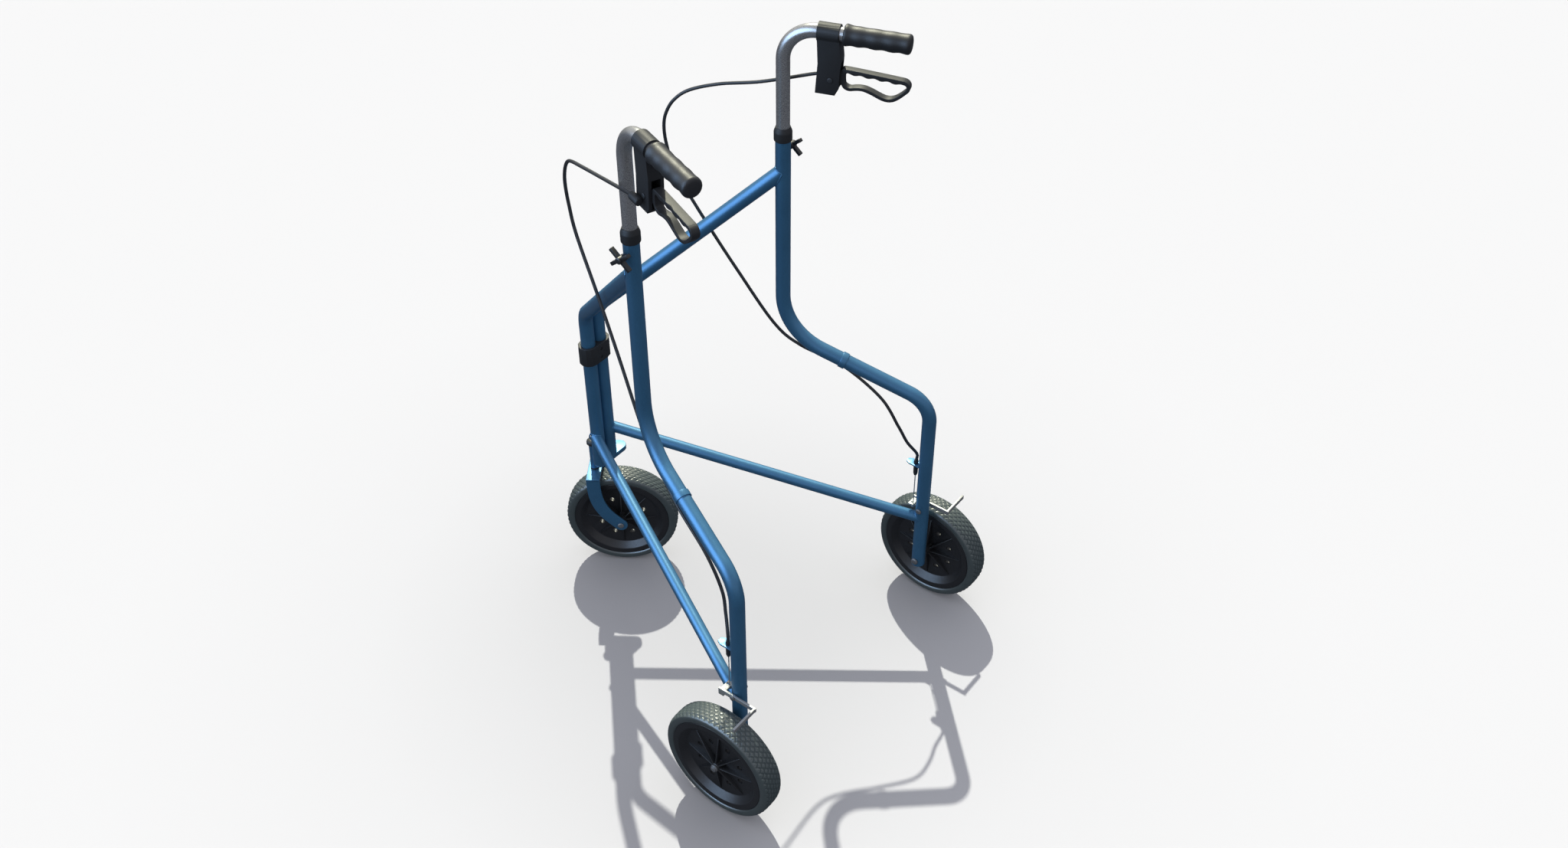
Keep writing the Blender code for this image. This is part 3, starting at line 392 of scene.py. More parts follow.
def swept(name, path, radius, sides, chamfer=0.0006):
    """A round bar along a path, its ends chamfered."""
    path = [Vector(p) for p in path]
    after_start = path[0] + (path[1] - path[0]).normalized() * chamfer
    before_end = path[-1] + (path[-2] - path[-1]).normalized() * chamfer
    path = [path[0], after_start, *path[1:-1], before_end, path[-1]]
    radii = [radius - chamfer] + [radius] * (len(path) - 2) + [radius - chamfer]
    shape = bmesh.new()
    rings = []
    for (u, v), point, r in zip(frames_along(path), path, radii):
        ring = []
        for i in range(sides):
            a = 2 * math.pi * i / sides
            ring.append(shape.verts.new(point + (u * math.cos(a) + v * math.sin(a)) * r))
        rings.append(ring)
    for one, other in zip(rings, rings[1:]):
        ring_faces(shape, one, other)
    shape.faces.new(rings[0])
    shape.faces.new(rings[-1])
    return finished_mesh(name, shape)


def eased(profile, radius, closed):
    """A profile whose corners are rounded a little."""
    count, steps = len(profile), 3
    out = []
    for i, point in enumerate(profile):
        if not closed and i in (0, count - 1):
            out.append(point)
            continue
        p, a, b = Vector(point), Vector(profile[i - 1]), Vector(profile[(i + 1) % count])
        back, on = a - p, b - p
        cut = min(radius, back.length * 0.45, on.length * 0.45)
        if cut < 1e-6 or abs(back.normalized().dot(on.normalized())) > 0.995:
            out.append(point)
            continue
        start, end = p + back.normalized() * cut, p + on.normalized() * cut
        for k in range(steps + 1):
            t = k / steps
            out.append(((1 - t) ** 2 * start + 2 * t * (1 - t) * p + t * t * end)[:])
    return out


def lathe(name, profile, placement, steps=64, ring=False, ease=0.0004, sharp=40):
    """A turned piece from (radius, height) points, corners eased."""
    points = eased(profile, ease, ring) if ease else profile
    shape = bmesh.new()
    rows = []
    for r, z in points:
        if r < 1e-7:
            rows.append([shape.verts.new((0, 0, z))])
        else:
            rows.append([shape.verts.new((r * math.cos(2 * math.pi * i / steps),
                                          r * math.sin(2 * math.pi * i / steps), z))
                         for i in range(steps)])
    pairs = list(zip(rows, rows[1:])) + ([(rows[-1], rows[0])] if ring else [])
    for one, other in pairs:
        ring_faces(shape, one, other)
    shape.transform(placement)
    return finished_mesh(name, shape, sharp)


def plate(name, loops, thickness, placement, bevel=0.0004, sharp=30, steps=2):
    """A flat outline with holes, its edges rounded, in the placement's XY plane."""
    data = bpy.data.curves.new(name, "CURVE")
    data.dimensions, data.fill_mode = "2D", "BOTH"
    data.extrude = thickness / 2 - bevel
    data.bevel_depth, data.bevel_resolution, data.offset = bevel, steps, -bevel
    for loop in loops:
        spline = data.splines.new("POLY")
        spline.points.add(len(loop) - 1)
        for point, spot in zip(spline.points, loop):
            point.co = (*spot, 0, 1)
        spline.use_cyclic_u = True
    curve = link(bpy.data.objects.new(name, data))
    bpy.context.view_layer.update()
    graph = bpy.context.evaluated_depsgraph_get()
    mesh = bpy.data.meshes.new_from_object(curve.evaluated_get(graph))
    bpy.data.objects.remove(curve, do_unlink=True)
    shape = shape_of(mesh)
    bmesh.ops.remove_doubles(shape, verts=shape.verts, dist=1e-6)
    shape.transform(placement)
    return finished_mesh(name, shape, sharp)


def block(name, size, placement, bevel=0.0005, segments=2):
    """A bar with rounded edges."""
    shape = bmesh.new()
    bmesh.ops.create_cube(shape, size=1)
    bmesh.ops.scale(shape, vec=size, verts=shape.verts)
    bmesh.ops.bevel(shape, geom=shape.edges[:], offset=bevel, segments=segments, affect="EDGES",
                    profile=0.5)
    shape.transform(placement)
    return finished_mesh(name, shape, 50)


def joined(obj, *others, sharp=40):
    """One object from several, each keeping its own closed shape."""
    shape = bmesh.new()
    shape.from_mesh(obj.data)
    for other in others:
        shape.from_mesh(other.data)
        bpy.data.objects.remove(other, do_unlink=True)
    shape.to_mesh(obj.data)
    shape.free()
    obj.data.shade_smooth()
    obj.data.set_sharp_from_angle(angle=math.radians(sharp))
    return obj


def baked(obj, sharp):
    """Applies the object's modifiers for good, and marks its sharp edges afresh."""
    bpy.context.view_layer.update()
    graph = bpy.context.evaluated_depsgraph_get()
    data = bpy.data.meshes.new_from_object(obj.evaluated_get(graph))
    obj.modifiers.clear()
    old, obj.data = obj.data, data
    bpy.data.meshes.remove(old)
    obj.data.shade_smooth()
    obj.data.set_sharp_from_angle(angle=math.radians(sharp))


def boolean(obj, tool, operation="DIFFERENCE"):
    """Cuts obj by a tool, or joins the tool to it."""
    step = obj.modifiers.new("cut", "BOOLEAN")
    step.operation, step.object, step.solver = operation, tool, "EXACT"
    baked(obj, 35)
    bpy.data.objects.remove(tool, do_unlink=True)


def rod(name, radius, length, placement, steps=48):
    return lathe(name, [(0, length), (radius, length), (radius, 0), (0, 0)], placement, steps,
                 ease=0)


def bored(obj, x, y, z, radius):
    """Cuts an upright bore through a flat piece at height z."""
    boolean(obj, rod("bore", radius, 0.02, Matrix.Translation((x, y, z - 0.01))))


def softened(obj, width, segments, angle):
    """Rounds the sharp edges that a cut has left."""
    step = obj.modifiers.new("soften", "BEVEL")
    step.width, step.segments, step.limit_method = width, segments, "ANGLE"
    step.angle_limit = math.radians(angle)
    step.use_clamp_overlap = True
    baked(obj, 50)


# ---------------------------------------------------------------- one side's places
class Side:
    def __init__(self, name, sign):
        self.name, self.sign = name, sign
        self.back = Vector((sign * math.sin(HANDLE_TURN), math.cos(HANDLE_TURN), 0))
        self.out = Vector((sign * math.cos(HANDLE_TURN), -math.sin(HANDLE_TURN), 0))
        self.grip = self.back * math.cos(HANDLE_DROP) - UP * math.sin(HANDLE_DROP)
        self.corner = self.at(UPRIGHT_X, UPRIGHT_Y, HANDLE_Z)

    def at(self, x, y, z):
        return Vector((self.sign * x, y, z))

    def node(self, part):
        return f"{self.name}_{part}"

    def skin(self, part):
        return f"{self.name}_{part}_skin"

    def beside_grip(self, s, z, outboard=0.0):
        return self.corner + self.back * s + self.out * outboard + UP * (z - HANDLE_Z)

    def finish(self, obj, look, body):
        place_piece(obj, look, f"{self.name}_{body}")


# ---------------------------------------------------------------- wheels
def tyre_section(points):
    """The outer section over the crown: even offsets from its middle, radii, heights, normals."""
    half, crown = TYRE_HALF, WHEEL_R
    wall = [(RIM_R + 0.0002, half - 0.0022), (0.0775, half - 0.0006), (0.0800, half),
            (0.0830, half - 0.0002), (0.0856, half - 0.0014), (0.0877, half - 0.0040),
            (0.0889, half - 0.0075), (0.08935, half - 0.0125), (crown, 0)]
    wall = [Vector(p) for p in wall]
    past_crown = Vector((wall[-2].x, -wall[-2].y))
    curve = spline_points([wall[0] * 2 - wall[1], *wall, past_crown], 12)
    outline = curve + [Vector((p.x, -p.y)) for p in reversed(curve[:-1])]
    spans = [(b - a).length for a, b in zip(outline, outline[1:])]
    lengths = np.concatenate([[0], np.cumsum(spans)])
    at = np.linspace(0, lengths[-1], points)
    radius = np.interp(at, lengths, [p.x for p in outline])
    height = np.interp(at, lengths, [p.y for p in outline])
    normal = np.stack([np.gradient(height), -np.gradient(radius)], 1)
    normal /= np.linalg.norm(normal, axis=1)[:, None]
    if normal[points // 2, 0] < 0:
        normal = -normal
    return at - lengths[-1] / 2, radius, height, normal


def tread(turn, offset):
    """How far the lozenge tread lies below the crown, and where its grooves and dents get painted
    shade.
    """
    pitch, row, reach = 2 * math.pi * WHEEL_R / 60, 0.0052, 0.0170
    pad_half, groove_depth, dent_depth = 0.0048, 0.0008, 0.0003
    u, v = (turn * WHEEL_R)[:, None] / pitch, offset / (2 * row)
    wide = np.where(np.abs(offset) > 2.5 * row, 0.0036, 0.0028)
    nearest = np.full((len(turn), len(offset)), 9.0)
    for shift in (0.0, 0.5):
        du = np.abs(u - shift - np.round(u - shift)) * pitch
        dv = np.abs(v - shift - np.round(v - shift)) * 2 * row
        nearest = np.minimum(nearest, du / pad_half + dv / wide)
    pad = np.clip((1 - nearest) / 0.40, 0, 1)
    dent = np.clip((0.34 - nearest) / 0.25, 0, 1)
    fade = np.clip((reach - np.abs(offset)) / 0.0008, 0, 1)
    depth = fade * (groove_depth * (1 - pad * pad * (3 - 2 * pad)) + dent_depth * dent)
    # the mask marks grooves and dents, which are coloured darker as painted shade
    return depth, (fade > 0.5) & ((pad < 0.45) | (dent > 0.5))


def tyre(prefix, place):
    """Tyre with its tread, smooth walls and flat seat, and which of its faces are grooves that get
    painted shade.
    """
    around, across = 720, 76
    offset, radius, height, normal = tyre_section(across + 1)
    turn = np.arange(around) / around * 2 * math.pi
    depth, low = tread(turn, offset)
    seat = np.array([-1, 1]) * (TYRE_HALF - 0.0030)
    rr = np.hstack([radius - depth * normal[:, 0], np.full((around, 2), RIM_R - 0.0004)])
    zz = np.hstack([height - depth * normal[:, 1], np.tile(seat, (around, 1))])
    verts = np.stack([rr * np.cos(turn)[:, None], rr * np.sin(turn)[:, None], zz], -1)
    n = across + 3
    faces = []
    for i in range(around):
        j = (i + 1) % around
        for k in range(n):
            m = (k + 1) % n
            faces.append((i * n + k, j * n + k, j * n + m, i * n + m))
    data = bpy.data.meshes.new(f"{prefix}_tyre_skin")
    data.from_pydata(verts.reshape(-1, 3).tolist(), [], faces)
    data.transform(place)
    made = finished_mesh(f"{prefix}_tyre_skin", shape_of(data), 60)
    # the groove mask, one entry per face, picks the darker rubber: painted shade
    return made, np.pad(low[:, :-1], ((0, 0), (0, 3))).astype(np.int32).ravel()


def rim(prefix, place, reach_back, reach_front):
    """Rim with its flange, cone and web; eight gussets run from the hub to the web's edge."""
    flange = TYRE_HALF - 0.0015
    bore = AXLE_R + GAP
    profile = [
        (HUB_R * 0.9, reach_front), (HUB_R, reach_front - 0.0012), (HUB_R, WEB_FACE),
        (WEB_R, WEB_FACE), (WEB_R + 0.009, flange), (RIM_R, flange),
        (RIM_R, -flange), (WEB_R + 0.009, -flange), (WEB_R + 0.001, -0.004),
        (WEB_R, WEB_BACK), (HUB_R, WEB_BACK), (HUB_R, -reach_back),
        (bore, -reach_back), (bore, reach_front),
    ]
    made = lathe(f"{prefix}_rim_skin", profile, Matrix.Identity(4), 128, ring=True, ease=0.0009)
    holes, sleeves = None, []
    for i in range(WEB_HOLES):
        a = 2 * math.pi * (i + 0.5) / WEB_HOLES
        spot = Matrix.Translation((WEB_HOLE_RING * math.cos(a), WEB_HOLE_RING * math.sin(a), 0))
        hole = rod(f"{prefix}_hole_{i}", WEB_HOLE_R, 0.012, spot, 32)
        holes = hole if holes is None else joined(holes, hole)
        wall = [(WEB_HOLE_R + 0.0014, WEB_BACK + 0.0006), (WEB_HOLE_R + 0.0012, WEB_BACK - 0.0030),
                (WEB_HOLE_R, WEB_BACK - 0.0030), (WEB_HOLE_R, WEB_BACK + 0.0006)]
        sleeves.append(lathe(f"{prefix}_sleeve_{i}", wall, spot, 32, ring=True))
    boolean(made, holes)
    softened(made, 0.0004, 2, 40)
    ribs = []
    top = min(reach_front - 0.0010, 0.0178)
    for i in range(WEB_HOLES):
        a = 2 * math.pi * i / WEB_HOLES
        outline = [(HUB_R - 0.0015, WEB_FACE - 0.001), (HUB_R - 0.0015, top),
                   (HUB_R + 0.0015, top - 0.0004), (WEB_R - 0.0025, WEB_FACE + 0.0010),
                   (WEB_R - 0.0005, WEB_FACE - 0.001)]
        spot = Matrix.Rotation(a, 4, "Z") @ axes_matrix((0, 0, 0), (1, 0, 0), (0, 0, 1))
        ribs.append(plate(f"{prefix}_rib_{i}", [outline], 0.0019, spot, 0.0004))
    joined(made, *ribs, *sleeves)
    made.data.transform(place)
    return made


def wheel(prefix, body, hub, axle, reach_back, reach_front):
    place = along_matrix(hub, axle)
    made, low = tyre(prefix, place)
    place_piece(made, "tyre_rubber", body)
    # the grooves take the darker rubber, painted shade in the tread's recesses
    made.data.materials.append(MATERIALS["tyre_groove_painted_shade"])
    made.data.polygons.foreach_set("material_index", low)
    place_piece(rim(prefix, place, reach_back, reach_front), "rim_plastic", body)


def bolt_piece(name, start, axis, grip_length, radius, head_r, head_t, nut_t=0.0, nut_r=0.0):
    profile = [(0, grip_length + nut_t)]
    if nut_t:
        profile += [(nut_r * 0.7, grip_length + nut_t), (nut_r, grip_length + nut_t * 0.6),
                    (nut_r, grip_length)]
    profile += [(radius, grip_length), (radius, 0), (head_r, 0), (head_r, -head_t * 0.5),
                (head_r * 0.75, -head_t * 0.95), (0, -head_t)]
    return lathe(name, profile, along_matrix(start, axis), 40, ease=0.0006)


# ---------------------------------------------------------------- frame
def weld_bead(name, centre, direction, own_r, offset):
    """A bead round the saddle where a tube meets an upright frame tube."""
    bead, steps, sides = 0.0011, 56, 10
    u = direction.cross(UP).normalized()
    v = u.cross(direction)
    path = []
    for i in range(steps):
        a = 2 * math.pi * i / steps
        spot = Vector((offset, 0, 0)) + (u * math.cos(a) + v * math.sin(a)) * own_r
        flat = Vector((spot.x, spot.y))
        run = Vector((direction.x, direction.y))
        qa, qb, qc = run.dot(run), 2 * flat.dot(run), flat.dot(flat) - TUBE_R ** 2
        root = math.sqrt(max(qb * qb - 4 * qa * qc, 0))
        t = (-qb + root) / (2 * qa)
        path.append(centre + spot + direction * t)
    shape = bmesh.new()
    rings = []
    for i, point in enumerate(path):
        run = (path[(i + 1) % steps] - path[i - 1]).normalized()
        side = run.orthogonal().normalized()
        across = run.cross(side)
        size = bead * (1 + 0.12 * math.sin(i * 2.1))
        rings.append([shape.verts.new(point + (side * math.cos(b) + across * math.sin(b)) * size)
                      for b in [2 * math.pi * k / sides for k in range(sides)]])
    for i in range(steps):
        one, other = rings[i], rings[(i + 1) % steps]
        # the two rings' sides may be turned against each other, so join by the nearest start
        shift = min(range(sides), key=lambda s: (one[0].co - other[s].co).length)
        ring_faces(shape, one, other[shift:] + other[:shift])
    return finished_mesh(name, shape, 80)


def frame_tubes(side):
    post = [side.at(POST_X, POST_Y, POST_BOTTOM), side.at(POST_X, POST_Y, ARM_CORNER_Z),
            side.at(UPRIGHT_X, UPRIGHT_Y, ARM_TOP_Z)]
    arm = swept(side.skin("arm_tube"), rounded_path(post, [ARM_BEND]), TUBE_R, 48)
    side.finish(arm, "frame_paint", "frame")
    upright = [side.at(UPRIGHT_X, UPRIGHT_Y, UPRIGHT_TOP),
               side.at(UPRIGHT_X, UPRIGHT_Y, SLOPE_TOP_Z),
               side.at(LEG_X, LEG_Y, SLOPE_END_Z), side.at(LEG_X, LEG_Y, LEG_BOTTOM)]
    leg = swept(side.skin("leg_tube"), rounded_path(upright, [SLOPE_BEND, LEG_BEND], 28), TUBE_R,
                48, 0.0010)
    side.finish(leg, "frame_paint", "frame")
    ends = [side.at(BRACE_POST_X, POST_Y, BRACE_POST_Z), side.at(LEG_X, LEG_Y, BRACE_LEG_Z)]
    brace = swept(side.skin("brace_tube"), ends, BRACE_R, 40)
    side.finish(brace, "frame_paint", "frame")

    slope = (post[1] - post[2]).normalized()
    run = (ends[1] - ends[0]).normalized()
    welds = (("arm_weld", post[2], slope, TUBE_R, 0),
             ("brace_post_weld", side.at(POST_X, POST_Y, BRACE_POST_Z), run, BRACE_R,
              side.sign * (BRACE_POST_X - POST_X)),
             ("brace_leg_weld", ends[1], -run, BRACE_R, 0))
    for name, *weld in welds:
        side.finish(weld_bead(side.node(name), *weld), "frame_paint", "frame")


def collar(side):
    wide, narrow = TUBE_R + GAP, HANDLE_R + GAP
    profile = [(narrow + 0.0006, COLLAR_TOP), (COLLAR_R, COLLAR_TOP - 0.0065),
               (COLLAR_R, COLLAR_BOTTOM + 0.001), (COLLAR_R - 0.0006, COLLAR_BOTTOM),
               (wide, COLLAR_BOTTOM), (wide, UPRIGHT_TOP), (narrow, UPRIGHT_TOP),
               (narrow, COLLAR_TOP)]
    profile = [(r, z - COLLAR_BOTTOM) for r, z in profile]
    place = Matrix.Translation(side.at(UPRIGHT_X, UPRIGHT_Y, COLLAR_BOTTOM))
    made = lathe(side.skin("collar"), profile, place, 72, ring=True, ease=0.0005)
    side.finish(made, "black_plastic", "frame")


def cable_clip(side):
    top = side.at(UPRIGHT_X, UPRIGHT_Y, SLOPE_TOP_Z)
    end = side.at(LEG_X, LEG_Y, SLOPE_END_Z)
    run = (end - top).normalized()
    place = along_matrix(top.lerp(end, 0.41), run)
    inner, outer, half = TUBE_R, TUBE_R + GAP + 0.0011, 0.0045
    profile = [(outer, half), (outer, -half), (inner, -half), (inner, half)]
    made = lathe(side.skin("cable_clip"), profile, place, 72, ring=True, ease=0.0005)
    side.finish(made, "frame_paint", "frame")


def cable_stop(side):
    place = Matrix.Translation(side.at(LEG_X, LEG_Y, STOP_Z))
    corners = ((0.0058, -0.0065), (0.0058, -0.0255), (0.0030, -0.0310))
    outline = hull([(sign * x, y, 0.0010) for x, y in corners for sign in (1, -1)], 24)
    hole = circle((0, WIRE_Y - LEG_Y), 0.0030, 32)
    made = plate(side.skin("cable_stop"), [outline, hole], 0.0022, place, 0.0003)
    side.finish(made, "frame_paint", "frame")


def brake_cable(side):
    start = side.beside_grip(HOUSING_START - 0.0025, BARREL_Z, BARREL_OUT)
    last = side.at(LEG_X, WIRE_Y, STOP_Z + 0.0075)
    route = [start, start - side.back * 0.012 - UP * 0.003]
    route += [side.at(*point) for point in CABLE_ROUTE]
    route += [last + UP * 0.012, last]
    path = smooth_path(route, 220)
    cable = swept(side.skin("cable"), path, CABLE_R, 16, 0.0003)
    cable.data.materials.clear()
    cable.data.materials.append(MATERIALS["cable_sheath"])
    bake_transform(cable)
    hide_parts(side.node("cable"))


def ferrule(side):
    low, high = FERRULE_BOTTOM, STOP_Z + 0.0072
    above, under = STOP_Z + 0.0011 + GAP, STOP_Z - 0.0011 - GAP
    profile = [(0, high), (0.0030, high), (0.0036, above + 0.002), (0.0036, above),
               (0.0026, above), (0.0026, under), (0.0036, under), (0.0034, low + 0.004),
               (0.0022, low), (WIRE_R + GAP, low), (WIRE_R + GAP, low + 0.018), (0, low + 0.018)]
    made = lathe(side.skin("cable_ferrule"), [(r, z - low) for r, z in profile],
                 Matrix.Translation(side.at(LEG_X, WIRE_Y, low)), 32, ease=0.0003)
    side.finish(made, "black_plastic", "frame")


def brake_wire(side):
    tab = BRAKE_Z - TAB_T / 2
    head = tab - GAP - 0.0045
    outline = [(0, FERRULE_BOTTOM + 0.006), (WIRE_R, FERRULE_BOTTOM + 0.006), (WIRE_R, tab - GAP),
               (0.0032, tab - GAP), (0.0032, head + 0.001), (0.0022, head), (0, head)]
    made = lathe(side.skin("brake_wire"), [(r, z - head) for r, z in outline],
                 Matrix.Translation(side.at(LEG_X, WIRE_Y, head)), 24, ease=0.0003)
    side.finish(made, "steel", "wire")


def brake_arm(side):
    place = axes_matrix(side.at((ARM_IN + ARM_OUT) / 2, LEG_Y, BRAKE_Z), (0, 1, 0), (0, 0, 1))
    half = 0.0034
    front, rear = -0.0245, BRAKE_BAR_Y - LEG_Y + 0.0032
    outline = [(front, -0.0085), (front + 0.0085, -0.0085), (front + 0.0095, -half),
               (rear, -half), (rear, half), (front, half)]
    arm = plate(side.skin("brake_arm"), [outline], ARM_OUT - ARM_IN, place, 0.0004)

    def bar(name, inner, outer, y, depth, height):
        mid = side.at((inner + outer) / 2, y, BRAKE_Z)
        return block(side.node(name), (outer - inner, depth, height), Matrix.Translation(mid),
                     0.0004)

    shoe = bar("shoe", ARM_IN + 0.0005, BRAKE_BAR_END, BRAKE_BAR_Y + 0.0012, 0.0032, 1.9 * half)
    tab = bar("tab", LEG_X - 0.0050, ARM_OUT - 0.0006, LEG_Y - 0.01855, 0.0091, TAB_T)
    slot = hull([(0, LEG_Y - 0.0172, 0.0012), (0, LEG_Y - 0.0205, 0.0012)], 24)
    level = Matrix.Translation(side.at(LEG_X, 0, BRAKE_Z))
    boolean(tab, plate(side.node("slot"), [slot], 0.02, level, 0.0001))
    joined(arm, shoe, tab)
    side.finish(arm, "steel", "brake")


# ---------------------------------------------------------------- handle
def handle_tube(side):
    corners = [side.at(UPRIGHT_X, UPRIGHT_Y, HANDLE_BOTTOM), side.corner,
               side.corner + side.grip * HANDLE_END]
    made = swept(side.skin("handle_tube"), rounded_path(corners, [HANDLE_BEND], 32), HANDLE_R, 48)
    side.finish(made, "handle_metal", "handle")


def grip(side):
    """Rubber sleeve: a flared collar, finger swells underneath and a rounded end."""
    length = GRIP_END - GRIP_START
    steps, around = 110, 72
    shape = bmesh.new()
    rows = []
    for i in range(steps + 1):
        z = length * i / steps
        t = i / steps
        base = 0.0124 + 0.0014 * math.exp(-((t - 0.03) / 0.075) ** 2)
        if z < 0.0022:
            base -= 0.0016 * (1 - z / 0.0022) ** 2
        tail = length - z
        if tail < 0.0042:
            base -= 0.0042 - math.sqrt(max(0.0042 ** 2 - (0.0042 - tail) ** 2, 0))
        row = []
        for k in range(around):
            a = 2 * math.pi * k / around
            under = 0.5 - 0.5 * math.sin(a)
            swell = 0.00055 * math.cos(2 * math.pi * (t * 4.0 + 0.15)) * (0.35 + 0.65 * under)
            edge = min(1, tail / 0.006, z / 0.006)
            r = base + swell * edge
            row.append(shape.verts.new((r * math.cos(a), r * math.sin(a), z)))
        rows.append(row)
    for one, other in zip(rows, rows[1:]):
        ring_faces(shape, one, other)
    shape.faces.new(rows[-1])
    shape.faces.new(list(reversed(rows[0])))
    across = UP.cross(side.grip)
    shape.transform(axes_matrix(side.corner + side.grip * GRIP_START, across,
                                side.grip.cross(across)))
    made = finished_mesh(side.skin("grip"), shape, 50)
    side.finish(made, "grip_rubber", "handle")


def from_grip(points):
    """Outline points with their heights measured from the grip's line."""
    return [(s, z - HANDLE_Z) for s, z in points]


def lever_housing(side):
    place = axes_matrix(side.corner, side.back, UP)
    outline = [(HOUSING_START, HANDLE_Z + 0.004), (HOUSING_END, HANDLE_Z + 0.003),
               (0.0772, 0.9195), (0.0748, 0.8815), (0.0702, 0.8728), (0.0445, 0.8735),
               (0.0475, 0.9137)]
    body = plate(side.skin("lever_housing"), [from_grip(outline)], 2 * HOUSING_HALF, place,
                 0.0001)
    length = HOUSING_END - HOUSING_START
    ring = rod(side.node("ring"), HOUSING_RING_R, length,
               along_matrix(side.corner + side.grip * HOUSING_START, side.grip), 96)
    boolean(body, ring, "UNION")
    boolean(body, rod(side.node("bore"), HANDLE_R + GAP, length + 0.012,
                      along_matrix(side.corner + side.grip * (HOUSING_START - 0.006), side.grip),
                      96))
    slot = block(side.node("slot"), (0.030, 0.0395, 2 * (LEVER_HALF + GAP)),
                 axes_matrix(side.beside_grip(0.0565 + 0.015, 0.8968), side.back, UP), 0.0002)
    boolean(body, slot)
    softened(body, 0.0007, 3, 30)
    side.finish(body, "black_plastic", "handle")


def cable_barrel(side):
    start = side.beside_grip(HOUSING_START - 0.002, BARREL_Z, BARREL_OUT)
    profile = [(0, 0.0220), (0.0040, 0.0220), (0.0052, 0.0205), (0.0052, 0.0045), (0.0036, 0),
               (CABLE_R + GAP, 0), (CABLE_R + GAP, 0.0050), (0, 0.0050)]
    made = lathe(side.skin("cable_barrel"), profile, along_matrix(start, side.back), 48,
                 ease=0.0005)
    side.finish(made, "black_plastic", "handle")


def lever_loops():
    """The brake lever's outer and inner outlines, in grip coordinates."""
    tongue = [(0.0770, 0.8880)] + arc((PIVOT_S, PIVOT_Z), 0.0052, 290, 95, 20)
    top = [(0.0755, 0.9035), (0.0775, 0.9075), (0.0805, 0.9090),
           (0.1570, 0.9028)]
    tip = arc((0.1565, 0.8935), 0.0090, 78, -48, 14)
    low = [(0.1545, 0.8790), (0.1465, 0.8730), (0.1390, 0.8708),
           (0.1310, 0.8716), (0.1230, 0.8748), (0.1130, 0.8793),
           (0.1040, 0.8818), (0.0950, 0.8808), (0.0880, 0.8790),
           (0.0820, 0.8806), (0.0785, 0.8838)]
    band = 0.0042
    fingers, ripple = 4, 0.0009
    waves = []
    for i in range(49):
        s = 0.0850 + 0.0690 * i / 48
        wave = ripple * math.cos(2 * math.pi * fingers * i / 48)
        waves.append((s, 0.9031 - 0.0062 * (s - 0.0805) / 0.0765 + wave))
    inner = [(0.0812, 0.9010)] + waves
    inner += arc((0.1563, 0.8930), 0.0046, 60, -48, 10)
    inner += [(0.1520, 0.8822), (0.1455, 0.8774), (0.1390, 0.8752),
              (0.1322, 0.8758), (0.1248, 0.8788), (0.1140, 0.8836),
              (0.1042, 0.8818 + band), (0.0945, 0.8808 + band),
              (0.0880, 0.8790 + band), (0.0832, 0.8850), (0.0812, 0.8875)]
    return [rounded_loop(from_grip(loop)) for loop in (tongue + top + tip + low, inner)]


def rounded_loop(points):
    """A closed outline with its corners cut smooth, in two rounds."""
    for _ in range(2):
        cut = []
        for a, b in zip(points, points[1:] + points[:1]):
            a, b = Vector(a), Vector(b)
            cut += [a.lerp(b, 0.25)[:], a.lerp(b, 0.75)[:]]
        points = cut
    return points


def brake_lever(side):
    place = axes_matrix(side.corner, side.back, UP)
    loops = lever_loops() + [circle((PIVOT_S, PIVOT_Z - HANDLE_Z), 0.0020 + GAP, 24)]
    made = plate(side.skin("brake_lever"), loops, 2 * LEVER_HALF, place, 0.0006, 35, 3)
    side.finish(made, "black_plastic", "lever")


def lever_pin(side):
    start = side.beside_grip(PIVOT_S, PIVOT_Z, -HOUSING_HALF - GAP)
    made = bolt_piece(side.skin("lever_pin"), start, side.out, 2 * (HOUSING_HALF + GAP), 0.0020,
                      0.0036, 0.0012, 0.0010, 0.0034)
    side.finish(made, "black_steel", "handle")


def height_knob(side):
    start = side.at(UPRIGHT_X + HANDLE_R + 0.0006, UPRIGHT_Y, KNOB_Z)
    profile = [(0, 0.0160), (0.0034, 0.0160), (0.0046, 0.0148), (0.0048, 0.0040),
               (0.0030, 0.0040), (0.0030, 0), (0, 0)]
    knob = lathe(side.skin("height_knob"), profile, along_matrix(start, side.at(1, 0, 0)), 40)
    centre = side.at(UPRIGHT_X + HANDLE_R + 0.0110, UPRIGHT_Y, KNOB_Z)
    arms = []
    for i in range(2):
        turn = Matrix.Rotation(math.radians(38 + 104 * i), 4, "X")
        arms.append(block(f"{side.name}_knob_arm_{i}", (0.0060, 0.0360, 0.0048),
                          Matrix.Translation(centre) @ turn, 0.0007))
    joined(knob, *arms, sharp=45)
    side.finish(knob, "rim_plastic", "knob")


# ---------------------------------------------------------------- head and caster
def post_clamp():
    place = Matrix.Translation((0, POST_Y, 0.4330))
    outline = hull([(sign * 0.0122, 0, 0.0148) for sign in (1, -1)], 12)
    holes = [circle((sign * POST_X, 0), TUBE_R + GAP, 64) for sign in (1, -1)]
    clamp = plate("post_clamp_skin", [outline, *holes], 0.0310, place, 0.0005, 25)
    for z in (0.4400, 0.4265):
        boolean(clamp, rod("hole", 0.0020 + GAP, 0.02,
                           along_matrix((0, POST_Y + 0.0075, z), (0, 1, 0)), 32))
    clamp.data.set_sharp_from_angle(angle=math.radians(25))
    place_piece(clamp, "black_plastic", "head")
    for name, z in (("upper", 0.4400), ("lower", 0.4265)):
        profile = [(0, 0.0058), (0.0007, 0.0052), (0.0011, 0.0066), (0.0020, 0.0060), (0.0020, 0),
                   (0, 0)]
        screw = lathe(f"clamp_screw_{name}_skin", profile,
                      along_matrix((0, POST_Y + 0.0078, z), (0, 1, 0)), 32, ease=0.0002)
        place_piece(screw, "black_plastic", "head")


